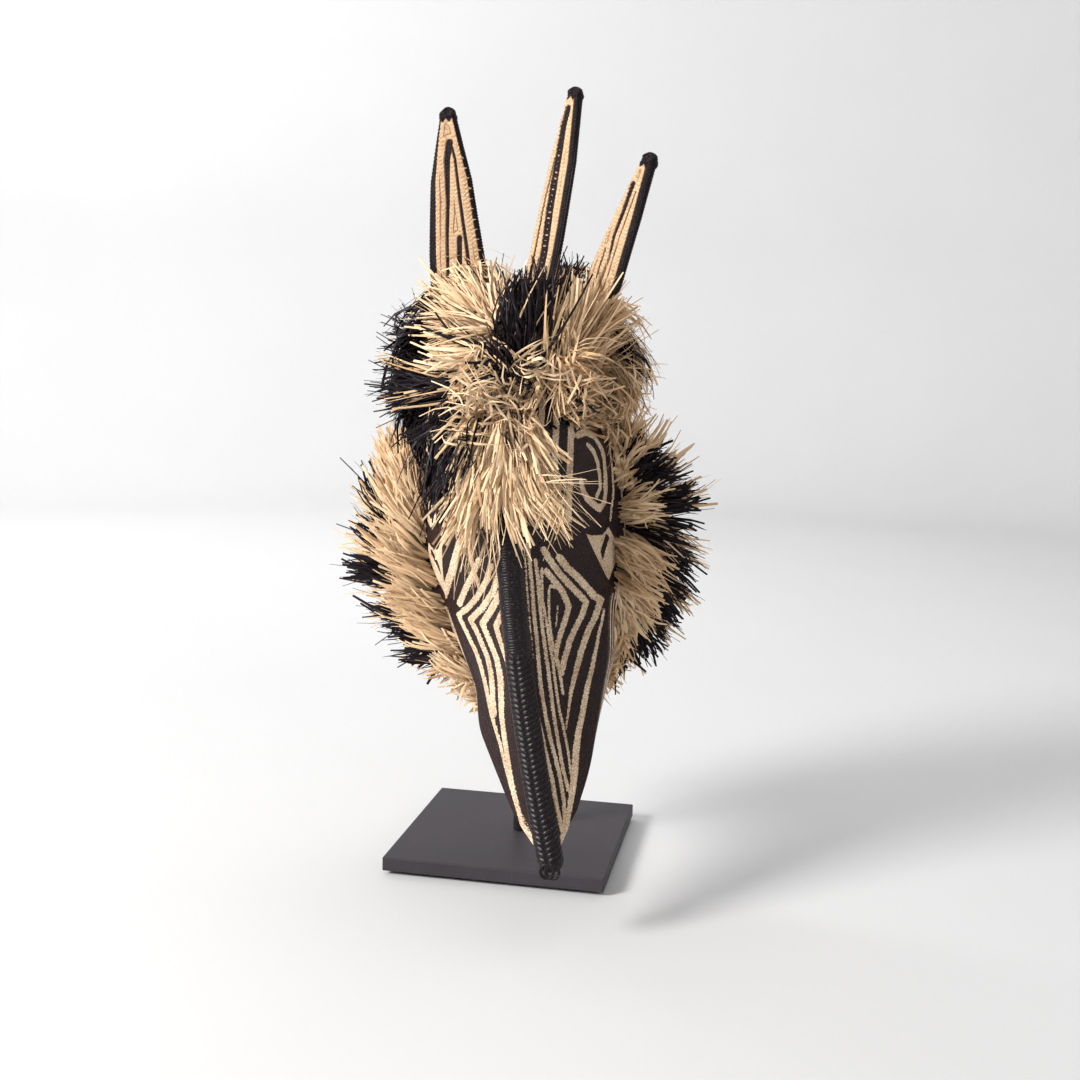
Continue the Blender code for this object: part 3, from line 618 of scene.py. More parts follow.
standRod = {
    "name": "standRod", "slot": "rod_steel", "node": "stand_rod", "radius": 0.0045,
    "foot": (0.003, 0.0, 0.0003), "armBelowRim": 0.018, "bend": 0.012, "bendSteps": 16,
    "padReach": 0.052, "padRadius": 0.010, "padHeight": 0.006, "padNeck": 0.002, "sides": 40,
    "dome": ((6, 0.86), (5.5, 0.95), (4.4, 1.0), (2.4, 1.0), (1.2, 0.9), (0.4, 0.7), (0.0, 0.4)),
}


def addRod():
    top = place(0.0, standRod["padReach"], 0.1)
    top[2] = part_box(standRod["node"])[1].z
    foot = standTop + standRod["foot"]
    armZ = mask["rim"][2] + mask["rimRadius"] - standRod["armBelowRim"]
    end = top - (0, 0, standRod["padHeight"] + standRod["padNeck"])
    corners = [foot, (foot[0], foot[1], armZ), (top[0], top[1], armZ), end]
    path = roundedPath(corners, standRod["bend"], standRod["bendSteps"])
    radii = [standRod["radius"]] * len(path)
    path[0] = foot + (0, 0, 0.0006)
    path.insert(0, foot)
    radii.insert(0, standRod["radius"] * 0.9)
    for height, share in standRod["dome"]:       # millimetres below the top, share of the radius
        path.append(top - (0, 0, height * 0.001))
        radii.append(standRod["padRadius"] * share)
    sizes = np.repeat(np.array(radii)[:, None], standRod["sides"], 1)
    piece, _, _ = addTube(path, sizes, standRod["sides"])
    closeSeams(piece)
    smoothPiece(piece, 45)
    finishPiece(piece, standRod["name"], standRod["slot"],
                coatedMaterial("rodCoat", (0.020, 0.018, 0.021), 0.42), standRod["node"])


addRod()
print("stand finished")


# bound ridge down the beak

beakRidge = {
    "name": "beakRidge", "slot": "bound_black", "node": "beak_ridge", "radius": 0.0085,
    "proud": 0.0045, "end": 0.003, "top": 0.016, "rows": 640, "sides": 60, "endRows": 8,
    "plaitBelow": -0.054, "wrapPitch": 0.00165, "wrapDepth": 0.00042, "plaitPitch": 0.0034,
    "plaitDepth": 0.00125, "loopRadius": 0.0042, "loopWire": 0.0011, "loopTurns": (0.55, -0.6),
}


def boundMaterial(name):
    made, tree, shader = newMaterial(name, 0.34, 0.22)
    spot = node(tree, "TexCoord").outputs["Object"]
    hairs = node(tree, "Mapping", {"Vector": spot, "Scale": (260.0, 260.0, 3200.0)}).outputs[0]
    fine = node(tree, "TexNoise", {"Vector": hairs, "Scale": 1.0, "Detail": 3.0})
    dust = node(tree, "TexNoise", {"Vector": spot, "Scale": 900.0, "Detail": 3.0})
    grooveShade = rescale(tree, attribute(tree, "relief"), 0.0, 0.55)
    base = mixColour(tree, fine.outputs[0], (0.004, 0.0025, 0.004, 1), (0.012, 0.007, 0.009, 1))
    # lighter brown in patches on the raised crests of the binding
    paleSpots = maths(tree, "MULTIPLY", rescale(tree, dust.outputs[0], 0.60, 0.72), grooveShade)
    colour = mixColour(tree, maths(tree, "MULTIPLY", paleSpots, 0.35), base, (0.26, 0.19, 0.15, 1))
    # painted shade: the grooves between the wraps are painted near black
    setColour(tree, shader, mixColour(tree, grooveShade, (0.006, 0.004, 0.005, 1), colour),
              rescale(tree, fine.outputs[0], 0.2, 0.8, 0.24, 0.46))
    setBump(tree, shader, fine.outputs[0], 0.35, 0.0003)
    return made


def ridgeCentre(height):
    length = mask["ridgeRise"] + mask["beakDrop"]
    share = (height + mask["beakDrop"]) / length
    reach = mask["beakReach"] + (mask["ridgeReach"] - mask["beakReach"]) * share
    return place(height * 0, reach + beakRidge["proud"] - beakRidge["radius"], height)


def addRidge():
    low = -mask["beakDrop"] - beakRidge["end"]
    high = mask["ridgeRise"] + beakRidge["top"]
    radius, sides = beakRidge["radius"], beakRidge["sides"]
    turns = np.pi / 2 * np.arange(1, beakRidge["endRows"] + 1) / (beakRidge["endRows"] + 1)
    heights = np.concatenate([low + radius * (1 - np.cos(turns)),
                              np.linspace(low + radius, high, beakRidge["rows"])])
    sizes = np.concatenate([radius * np.sin(turns), np.full(beakRidge["rows"], radius)])
    angle = 2 * np.pi * np.arange(sides) / sides
    front = np.abs((angle + np.pi / 2 + np.pi) % (2 * np.pi) - np.pi)
    wobble = 0.0004 * np.sin(heights * 310) + 0.0003 * np.sin(heights * 743 + 1)
    wraps = np.abs(np.sin(np.pi * ((heights + wobble) / beakRidge["wrapPitch"])[:, None]
                          + 0.5 * np.sin(angle)[None, :])) ** 0.6
    plait = np.abs(np.sin(np.pi * (heights[:, None] / beakRidge["plaitPitch"]
                                   - 1.15 * front[None, :]))) ** 0.7
    parting = np.exp(-(front / 0.13) ** 2)[None, :]
    plait = plait * (1 - 0.9 * parting)
    blend = smoothStep((beakRidge["plaitBelow"] - heights) / 0.006)[:, None]
    relief = wraps * (1 - blend) + plait * blend
    depth = beakRidge["wrapDepth"] * (1 - blend) + beakRidge["plaitDepth"] * blend
    fade = np.clip((sizes / radius)[:, None], 0, 1)
    radii = sizes[:, None] + (relief - 0.8) * depth * fade
    piece, held, turned = addTube(ridgeCentre(heights), radii, sides)
    column = np.rint(turned / (2 * np.pi) * sides).astype(int) % sides
    storeValues(piece.data, "relief", relief[held, column])
    closeSeams(piece)
    smoothPiece(piece, 80)
    material = boundMaterial("blackBinding")
    finishPiece(piece, beakRidge["name"], beakRidge["slot"], material, beakRidge["node"])
    for index, turn in enumerate(beakRidge["loopTurns"]):     # crossed loops close the tip
        deselectAll()
        bpy.ops.mesh.primitive_torus_add(
            major_radius=beakRidge["loopRadius"], minor_radius=beakRidge["loopWire"],
            major_segments=48, minor_segments=12)
        loop = bpy.context.object
        points = np.array([corner.co for corner in loop.data.vertices])
        points = points[:, [0, 2, 1]] * (1.0, 1.0, 1.15)
        sway = np.array(Matrix.Rotation(turn, 3, "Y"))
        centre = ridgeCentre(np.array(low + radius * 0.55)) \
            + (0.0016 * (index * 2 - 1), -radius * 0.8, -0.001)
        setPoints(loop, points @ sway.T + centre)
        storeValues(loop.data, "relief", np.full(len(points), 0.8))
        smoothPiece(loop, 60)
        finishPiece(loop, "tipLoop%d" % (index + 1), beakRidge["slot"], material)


addRidge()
print("ridge bound")


# crest blades, measured from the middle of the crown

crownMiddle = mask["rim"] + (0.0, -0.050, mask["crownRise"])
bladeForm = {
    "slot": "blade_braid", "thickness": 0.0085, "tip": 0.005, "root": 0.030, "sides": 100,
    "rows": 300, "endRows": 12, "relief": 0.0011, "braidPitch": 2.9, "braidWidth": 5.2,
    "ropePitch": 2.1,
}
blades = {      # widths go from root to tip, lines in millimetres across and down from the tip
    "crestBladeLeft": {
        "node": "crest_blade_left", "root": (-0.0310, 0.000, -0.018),
        "tip": (-0.0475, 0.000, 0.1385), "widths": (0.0415, 0.0410, 0.0365, 0.0275, 0.0080),
        "bow": 0.0025, "turn": 4, "cap": 10, "left": (1.8, 4.4, 5.6), "right": (2.6, 3.0, 3.6),
        "dashes": (28, 120), "dots": 0,
        "dark": [((4.4, 2.0, 1.8, 2.0, 2.4), ((0.7, 23), (-1.5, 33.5), (-2.5, 60), (-5.1, 87),
                                              (-6.6, 114), (-6, 190))),
                 ((1.4, 2.0, 2.4, 2.6), ((1.4, 23), (3.8, 33.5), (5.5, 60), (7.4, 87), (8.6, 114),
                                         (9, 190))),
                 ((3.2,), ((3.3, 84), (2, 100), (2.4, 114), (3, 190)))]},
    "crestBladeCentre": {
        "node": "crest_blade_centre", "root": (0.0095, 0.002, -0.003),
        "tip": (0.0375, 0.000, 0.1500), "widths": (0.0280, 0.0275, 0.0255, 0.0210, 0.0085),
        "bow": -0.0012, "turn": -32, "cap": 9, "left": (1.0, 1.3, 1.5), "right": (3.2, 3.8, 4.2),
        "dashes": (0, 0), "dots": 3.6,
        "dark": [((3.6, 5.6, 6.0, 6.2, 6.2), ((-1.4, 14), (-2.6, 26), (-2.0, 50), (-1.0, 77),
                                              (1.3, 104), (1.6, 190))),
                 ((0.5, 1.5, 1.5), ((-5, 46), (-6.8, 75), (-6.6, 110), (-6.5, 190)))]},
    "crestBladeRight": {
        "node": "crest_blade_right", "root": (0.0425, 0.005, -0.018),
        "tip": (0.0875, 0.000, 0.1090), "widths": (0.0310, 0.0310, 0.0290, 0.0205, 0.0085),
        "bow": 0.0010, "turn": -30, "cap": 11, "left": (0.9, 1.2, 1.6), "right": (4.6, 4.4, 4.6),
        "dashes": (0, 0), "dots": 0,
        "dark": [((3.0, 1.4, 1.6, 2.4), ((-3.4, 22), (-2.8, 41), (-3, 56), (-0.6, 70), (-1, 160))),
                 ((0.8, 2.0), ((-5.8, 66), (-5, 84), (-5, 160))),
                 ((0.6, 1.0), ((0.8, 26), (1.5, 56), (3.6, 80), (3.6, 160)))]},
}


def braidMaterial(name):
    made, tree, shader = newMaterial(name, 0.7, 0.14)
    mapping = node(tree, "UVMap", uv_map="stitches").outputs[0]
    fibre = node(tree, "Mapping", {"Vector": mapping, "Scale": (3.0, 1.2, 1.0)}).outputs[0]
    fine = node(tree, "TexNoise", {"Vector": fibre, "Scale": 1.6, "Detail": 4.0})
    cells = node(tree, "TexVoronoi", {"Vector": mapping, "Scale": 0.55, "Randomness": 0.7})
    split = node(tree, "SeparateColor", {0: cells.outputs["Color"]})
    nibble = maths(tree, "MULTIPLY", maths(tree, "SUBTRACT", fine.outputs[0], 0.5), 1.6)
    dark = rescale(tree, maths(tree, "ADD", attribute(tree, "dark"), nibble), -0.2, 0.2, 1.0, 0.0)
    cream = mixColour(tree, split.outputs[0], (0.66, 0.44, 0.26, 1), (0.88, 0.68, 0.47, 1))
    streaked = mixColour(tree, rescale(tree, fine.outputs[0], 0.35, 0.7),
                         (0.54, 0.33, 0.18, 1), cream)
    black = mixColour(tree, fine.outputs[0], (0.004, 0.002, 0.003, 1), (0.017, 0.009, 0.011, 1))
    row = maths(tree, "MODULO", maths(tree, "ABSOLUTE", attribute(tree, "dark")), 3.1)
    aside = maths(tree, "ABSOLUTE", maths(tree, "SUBTRACT", row, 1.55))
    along = node(tree, "SeparateXYZ", {0: mapping}).outputs[1]
    slant = maths(tree, "MULTIPLY", maths(tree, "ADD", along, aside), 2.6)
    twist = maths(tree, "SINE", slant)
    gap = maths(tree, "MAXIMUM", rescale(tree, aside, 1.15, 1.5),
                rescale(tree, twist, 0.45, 1.0, 0.0, 0.45))
    rise = maths(tree, "SUBTRACT", maths(tree, "MULTIPLY", fine.outputs[0], 0.5), gap)
    # painted shade: the clefts between the braid stitches are painted dark brown
    cleftShade = mixColour(tree, maths(tree, "MULTIPLY", gap, 0.8), streaked, (0.17, 0.085, 0.045, 1))
    setColour(tree, shader, mixColour(tree, dark, cleftShade, black),
              rescale(tree, dark, 0.0, 1.0, 0.75, 0.40))
    setBump(tree, shader, rise, 0.8, 0.0007)
    return made


def bladePattern(spec, offset, down, half):      # below 0 is black, in millimetres
    flat = np.stack([offset, down], -1)
    lines = lineField(flat, spec["dark"])
    leftEdge, rightEdge = (np.interp(down, (15, 60, 130), spec[key]) for key in ("left", "right"))
    toLeft, toRight = offset + half * 1000, half * 1000 - offset
    dark = np.minimum(lines, np.minimum(toLeft - leftEdge, toRight - rightEdge))
    dashLow, dashHigh = spec["dashes"]
    dash = (down > dashLow) & (down < dashHigh) & (np.abs(toRight - 2.5) < 1.1)
    dark = np.where(dash & (down % 6.6 < 0.8), 1.0, dark)
    if spec["dots"]:                # cream stitches down the middle of the first band
        band = lineField(flat, spec["dark"][:1])
        dark = np.where((band < -1.9) & (down % spec["dots"] < 1.2) & (down > 40), 0.7, dark)
    dark = np.minimum(dark, down - spec["cap"] + 1.3 * np.abs((offset + 1) % 4 - 2))
    return dark, np.maximum(lines, 0), np.minimum(toLeft, toRight)


def addBlade(name, spec):
    root, tip = crownMiddle + spec["root"], crownMiddle + spec["tip"]
    ahead = (tip - root) / np.linalg.norm(tip - root)
    turn = math.radians(spec["turn"])
    side = np.array([math.cos(turn), math.sin(turn), 0.0])
    side = side - ahead * (side @ ahead)
    side /= np.linalg.norm(side)
    facing = np.cross(ahead, side)
    start = root - ahead * bladeForm["root"]
    length = np.linalg.norm(tip - start)
    piece, shareRound, shareUp = addGrid(bladeForm["sides"], bladeForm["rows"])
    body, endRows = length - bladeForm["tip"], bladeForm["endRows"]
    row = np.rint(shareUp * bladeForm["rows"])
    bodyRow = bladeForm["rows"] - 2 - endRows
    turnEnd = np.clip((row - 1 - bodyRow) / endRows, 0, 1) * np.pi / 2 * 0.97
    distance = np.where(row - 1 <= bodyRow, body * np.clip(row - 1, 0, None) / bodyRow,
                        body + bladeForm["tip"] * np.sin(turnEnd))
    squeeze = np.cos(turnEnd)
    closed = (row == 0) | (row == bladeForm["rows"])
    angle = 2 * np.pi * shareRound
    cosine, sine = np.cos(angle), np.sin(angle)
    half = np.interp(distance / length, np.linspace(0, 1, 5), spec["widths"]) / 2 * squeeze
    across = np.sign(cosine) * np.abs(cosine) ** 0.8
    thick = sine * (0.62 + 0.38 * np.abs(cosine))
    offset, down = across * half * 1000, (length - distance) * 1000
    dark, rows, toEdge = bladePattern(spec, offset, down, half)
    aside = np.abs(rows % bladeForm["braidWidth"] - bladeForm["braidWidth"] / 2)
    braid = np.abs(np.sin(np.pi * (down / bladeForm["braidPitch"] + aside / 3.4)))
    rope = np.abs(np.sin(np.pi * (down / bladeForm["ropePitch"] + offset / 3.2)))
    relief = np.where(dark > 0, braid ** 0.6, 0.35 + 0.5 * rope ** 0.7)
    storeValues(piece.data, "dark", dark)
    lift = (relief - 0.75) * bladeForm["relief"] + np.where(dark > 0, 0.0004, 0.0)
    grow = np.where(closed, 0.0, lift + np.where(toEdge < 3, 0.0003 * rope, 0.0)) * squeeze
    knob = smoothStep((spec["cap"] - 1 - down) / 3) * squeeze
    grow += knob * (0.0007 + 0.0005 * np.sin(angle * 3 + down * 0.9))
    depth = np.where(closed, 0.0, bladeForm["thickness"] / 2 * np.sqrt(squeeze) + grow)
    half = np.where(closed, 0.0, half + grow * 0.7)
    bowed = 4 * spec["bow"] * distance / length * (1 - distance / length)
    setPoints(piece, start + ahead * distance[:, None] + side * (half * across - bowed)[:, None]
              + facing * (depth * thick)[:, None])
    spots = np.stack([offset + 40 * (sine > 0), down], -1)
    storeSpots(piece.data, "stitches", spots[faceCorners(piece.data)])
    closeSeams(piece)
    smoothPiece(piece, 80)
    finishPiece(piece, name, bladeForm["slot"], braidMaterial(name + "Braid"), spec["node"])


for bladeName, bladeSpec in blades.items():
    addBlade(bladeName, bladeSpec)
print("crest blades braided")


# loose fibre strips: one strip is modelled, and its copies are laid along curves

def stripTemplate():
    deselectAll()
    bpy.ops.mesh.primitive_circle_add(vertices=3, radius=0.5, fill_type="NGON")
    template = bpy.context.object
    bpy.ops.object.mode_set(mode="EDIT")
    bpy.ops.mesh.select_all(action="SELECT")
    for step in range(4):
        bpy.ops.mesh.extrude_region_move(TRANSFORM_OT_translate={"value": (0, 0, 0.25)})
    bpy.ops.mesh.select_all(action="SELECT")
    bpy.ops.mesh.normals_make_consistent(inside=False)
    bpy.ops.object.mode_set(mode="OBJECT")
    points = np.array([corner.co for corner in template.data.vertices])
    faces = [list(face.vertices) for face in template.data.polygons]
    bpy.data.objects.remove(template)
    return points, faces


stripPoints, stripFaces = stripTemplate()


def fibreMaterial(name):
    made, tree, shader = newMaterial(name, 0.6, 0.12)
    mapping = node(tree, "UVMap", uv_map="fibre").outputs[0]
    drawn = node(tree, "Mapping", {"Vector": mapping, "Scale": (5.0, 0.12, 1.0)}).outputs[0]
    streak = node(tree, "TexNoise", {"Vector": drawn, "Scale": 1.0, "Detail": 4.0})
    tone = attribute(tree, "tone")
    straw = mixColour(tree, tone, (0.50, 0.29, 0.13, 1), (0.90, 0.70, 0.47, 1))
    streaked = mixColour(tree, rescale(tree, streak.outputs[0], 0.35, 0.65),
                         (0.52, 0.31, 0.15, 1), straw)
    softened = mixColour(tree, 0.55, streaked, straw)
    black = mixColour(tree, streak.outputs[0], (0.004, 0.0025, 0.004, 1), (0.016, 0.010, 0.013, 1))
    dye = rescale(tree, maths(tree, "ADD", attribute(tree, "dye"),
                              maths(tree, "MULTIPLY", streak.outputs[0], 0.2)), 0.5, 0.7)
    # painted shade: the straw strips are darkened towards their roots, where the tufts shade one
    # another
    root = rescale(tree, attribute(tree, "along"), 0.0, 0.45, 0.55, 0.0)
    shaded = mixColour(tree, root, softened, (0.15, 0.07, 0.035, 1))
    setColour(tree, shader, mixColour(tree, dye, shaded, black),
              rescale(tree, dye, 0.0, 1.0, 0.62, 0.38))
    setBump(tree, shader, streak.outputs[0], 0.4, 0.0003)
    return made


def laidStrips(strips):           # every strip's points, along its curve from start to end
    level = stripPoints[:, 2]
    share = level[None, :, None]
    start, middle, end = (strips[key][:, None] for key in ("start", "middle", "end"))
    path = start * (1 - share) ** 2 + middle * 2 * share * (1 - share) + end * share ** 2
    ahead = 2 * (1 - share) * (middle - start) + 2 * share * (end - middle)
    ahead /= np.linalg.norm(ahead, axis=2)[..., None] + 1e-9
    side = np.cross(ahead, strips["facing"][:, None])
    side /= np.linalg.norm(side, axis=2)[..., None] + 1e-9
    up = np.cross(side, ahead)
    twist = strips["twist"][:, None] * (0.4 + level[None, :])
    cosine, sine = np.cos(twist)[..., None], np.sin(twist)[..., None]
    side, up = side * cosine + up * sine, up * cosine - side * sine
    taper = 0.72 + 0.42 * np.sin(np.pi * np.minimum(level[None, :] * 1.15, 1.0))
    taper = taper * (1 - strips["pointed"][:, None] * level[None, :] ** 2.2)
    wide = strips["width"][:, None] * taper * stripPoints[None, :, 0] * 1.15
    thick = strips["thick"][:, None] * (0.4 + 0.6 * taper) * stripPoints[None, :, 1]
    return path + side * wide[..., None] + up * thick[..., None]


def addStrips(name, slot, nodeName, strips, material):
    count, size, level = len(strips["start"]), len(stripPoints), stripPoints[:, 2]
    first = (np.arange(count) * size)[:, None]
    order = np.concatenate([(np.array(face)[None, :] + first).ravel() for face in stripFaces])
    totals = np.concatenate([np.full(count, len(face)) for face in stripFaces])
    starts = np.concatenate([[0], np.cumsum(totals)[:-1]])
    mesh = bpy.data.meshes.new(name)
    mesh.vertices.add(count * size)
    mesh.vertices.foreach_set("co", laidStrips(strips).astype(np.float32).ravel())
    mesh.loops.add(len(order))
    mesh.loops.foreach_set("vertex_index", order.astype(np.int32))
    mesh.polygons.add(len(totals))
    mesh.polygons.foreach_set("loop_start", starts.astype(np.int32))
    mesh.update(calc_edges=True)
    mesh.validate()
    for key in ("tone", "dye"):
        storeValues(mesh, key, np.repeat(strips[key], size))
    storeValues(mesh, "along", np.tile(level, count))
    length = np.linalg.norm(strips["end"] - strips["start"], axis=1)[:, None]
    across = stripPoints[None, :, 0] + np.arange(count)[:, None] * 3.7
    spots = np.stack([across, length * level[None, :] * 1000], -1).reshape(-1, 2)
    storeSpots(mesh, "fibre", spots[order])
    piece = bpy.data.objects.new(name, mesh)
    bpy.context.scene.collection.objects.link(piece)
    smoothPiece(piece, 75)
    finishPiece(piece, name, slot, material, nodeName)


def joinStrips(parts):
    return {key: np.concatenate([part[key] for part in parts]) for key in parts[0]}


tuftForm = {
    "shorten": 0.35, "tipMost": 1.9, "stray": 0.62, "facing": 0.45, "thin": 0.00022,
    "thick": 0.12, "twist": 0.35, "tone": 0.22,
}
plain, dyed = 0.0, 0.9            # how much dye a strip has taken


def makeTuft(dice, root, tip, count, rootSpread, tipSpread, width, bulge, facing, tone, dye,
             pointed=0.3):        # a tied bunch of strips, pointed is the share with a sharp tip
    start = root + dice.normal(0, 1, (count, 3)) * rootSpread
    reach = 1 - tuftForm["shorten"] * dice.random(count)[:, None] ** 1.5
    most = tuftForm["tipMost"]
    aim = tip + np.clip(dice.normal(0, 1, (count, 3)), -most, most) * tipSpread
    end = start + (aim - start) * reach
    middle = (start + end) / 2 + np.asarray(bulge) * (0.6 + 0.8 * dice.random(count))[:, None] \
        + dice.normal(0, 1, (count, 3)) * tipSpread * tuftForm["stray"]
    wide = width[0] + (width[1] - width[0]) * dice.random(count) ** 1.4
    return {"start": start, "middle": middle, "end": end,
            "facing": np.asarray(facing) + dice.normal(0, tuftForm["facing"], (count, 3)),
            "width": wide,
            "thick": tuftForm["thin"] + tuftForm["thick"] * wide * dice.random(count),
            "twist": dice.normal(0, tuftForm["twist"], count),
            "tone": np.clip(dice.normal(tone, tuftForm["tone"], count), 0, 1),
            "dye": np.full(count, dye),
            "pointed": (dice.random(count) < pointed) * (0.6 + 0.35 * dice.random(count))}


ruff = {
    "slot": "ruff_fibre", "node": "ruff_fringe", "wide": (0.0007, 0.0026),
    "rootSpread": 0.0026, "tipSpread": 0.0064, "lessReach": (-0.012, 0.002),
    "bare": 0.013, "bareTurns": (4, 66), "darkStep": 0.011, "swing": 7, "toneChange": 0.15,
    "darkLeft": (172, 234), "darkRight": (-52, 38), "darkFade": 8,
    "leanTurns": (-180, -150, -120, -90, -60, -25, 0, 30, 60, 90, 120, 150, 180),
    "lean": (-16, -4, 6, 4, -3, -10, -9, 12, 20, 4, -14, -26, -16),
}
ruffRows = [      # from back to front, dark is 0 for plain, 1 for dyed in patches, 2 for in front
    {"root": -0.002, "tip": -0.010, "reach": 0.129, "tufts": 60, "strips": 34, "dark": 0,
     "tone": 0.6},
    {"root": 0.008, "tip": 0.004, "reach": 0.127, "tufts": 60, "strips": 34, "dark": 1,
     "tone": 0.5},
    {"root": 0.018, "tip": 0.018, "reach": 0.124, "tufts": 60, "strips": 34, "dark": 1,
     "tone": 0.5},
    {"root": 0.028, "tip": 0.034, "reach": 0.119, "tufts": 58, "strips": 34, "dark": 2,
     "tone": 0.6},
    {"root": 0.038, "tip": 0.045, "reach": 0.112, "tufts": 56, "strips": 32, "dark": 2,
     "tone": 0.7},
]


def darkShare(degrees):           # black tufts lie low at the left and along the right
    shares = []
    for value, (low, high) in ((degrees % 360, ruff["darkLeft"]), (degrees, ruff["darkRight"])):
        shares.append(smoothStep((value - low) / ruff["darkFade"])
                      * smoothStep((high - value) / ruff["darkFade"]))
    return max(shares)


def ruffRoot(turn, forward):      # a point on the shell's outer skin at that reach
    turn = turn if turn >= -90 else turn + 360
    steps = np.linspace(0, 1.0, 41)
    line = maskPoint(np.full(41, turn), steps)
    share = np.interp(forward, np.maximum.accumulate(line[:, 1]), steps)
    return maskPoint(turn, share)[0]


def ruffStrips(rows, seed):
    dice = np.random.default_rng(seed)
    front = rimFrame(0, 1, 0) - mask["rim"]
    bareLow, bareHigh = ruff["bareTurns"]
    parts = []
    for row in rows:
        for index in range(row["tufts"]):
            turn = (index + dice.uniform(-0.4, 0.4)) * 360 / row["tufts"] - 180
            inFront, dark = row["dark"] == 2, darkShare(turn)
            back = ruff["bare"] * inFront * (bareLow < turn < bareHigh)      # bares the eye panel
            root = place(*ruffRoot(turn, row["root"] - back + dice.uniform(-0.004, 0.004)))
            lean = np.interp(turn, ruff["leanTurns"], ruff["lean"])
            sweep = math.radians(lean + dice.uniform(-ruff["swing"], ruff["swing"]))
            aim = math.radians(turn) + sweep
            reach = row["reach"] + dice.uniform(*ruff["lessReach"])
            if inFront:
                reach -= ruff["darkStep"] * dark
            tip = rimFrame(reach * math.cos(aim),
                           row["tip"] - back * 1.6 + dice.uniform(-0.006, 0.006),
                           (reach - 0.007) * math.sin(aim))
            outward = rimFrame(math.cos(math.radians(turn)), 0, math.sin(math.radians(turn))) \
                - mask["rim"]
            dye = dyed if row["dark"] == 1 and dice.random() < dark else plain
            bulge = front * 0.006 + outward * 0.004 + (0, 0, 0.002)
            tone = row["tone"] + dice.uniform(-ruff["toneChange"], ruff["toneChange"])
            parts.append(makeTuft(dice, root, tip, row["strips"], ruff["rootSpread"],
                                  ruff["tipSpread"], ruff["wide"], bulge, front, tone, dye))
    return joinStrips(parts)


fibre = fibreMaterial("looseFibre")
addStrips("ruffBack", ruff["slot"], ruff["node"], ruffStrips(ruffRows[:3], 11), fibre)
addStrips("ruffFront", ruff["slot"], ruff["node"], ruffStrips(ruffRows[3:], 12), fibre)
print("ruff tied")


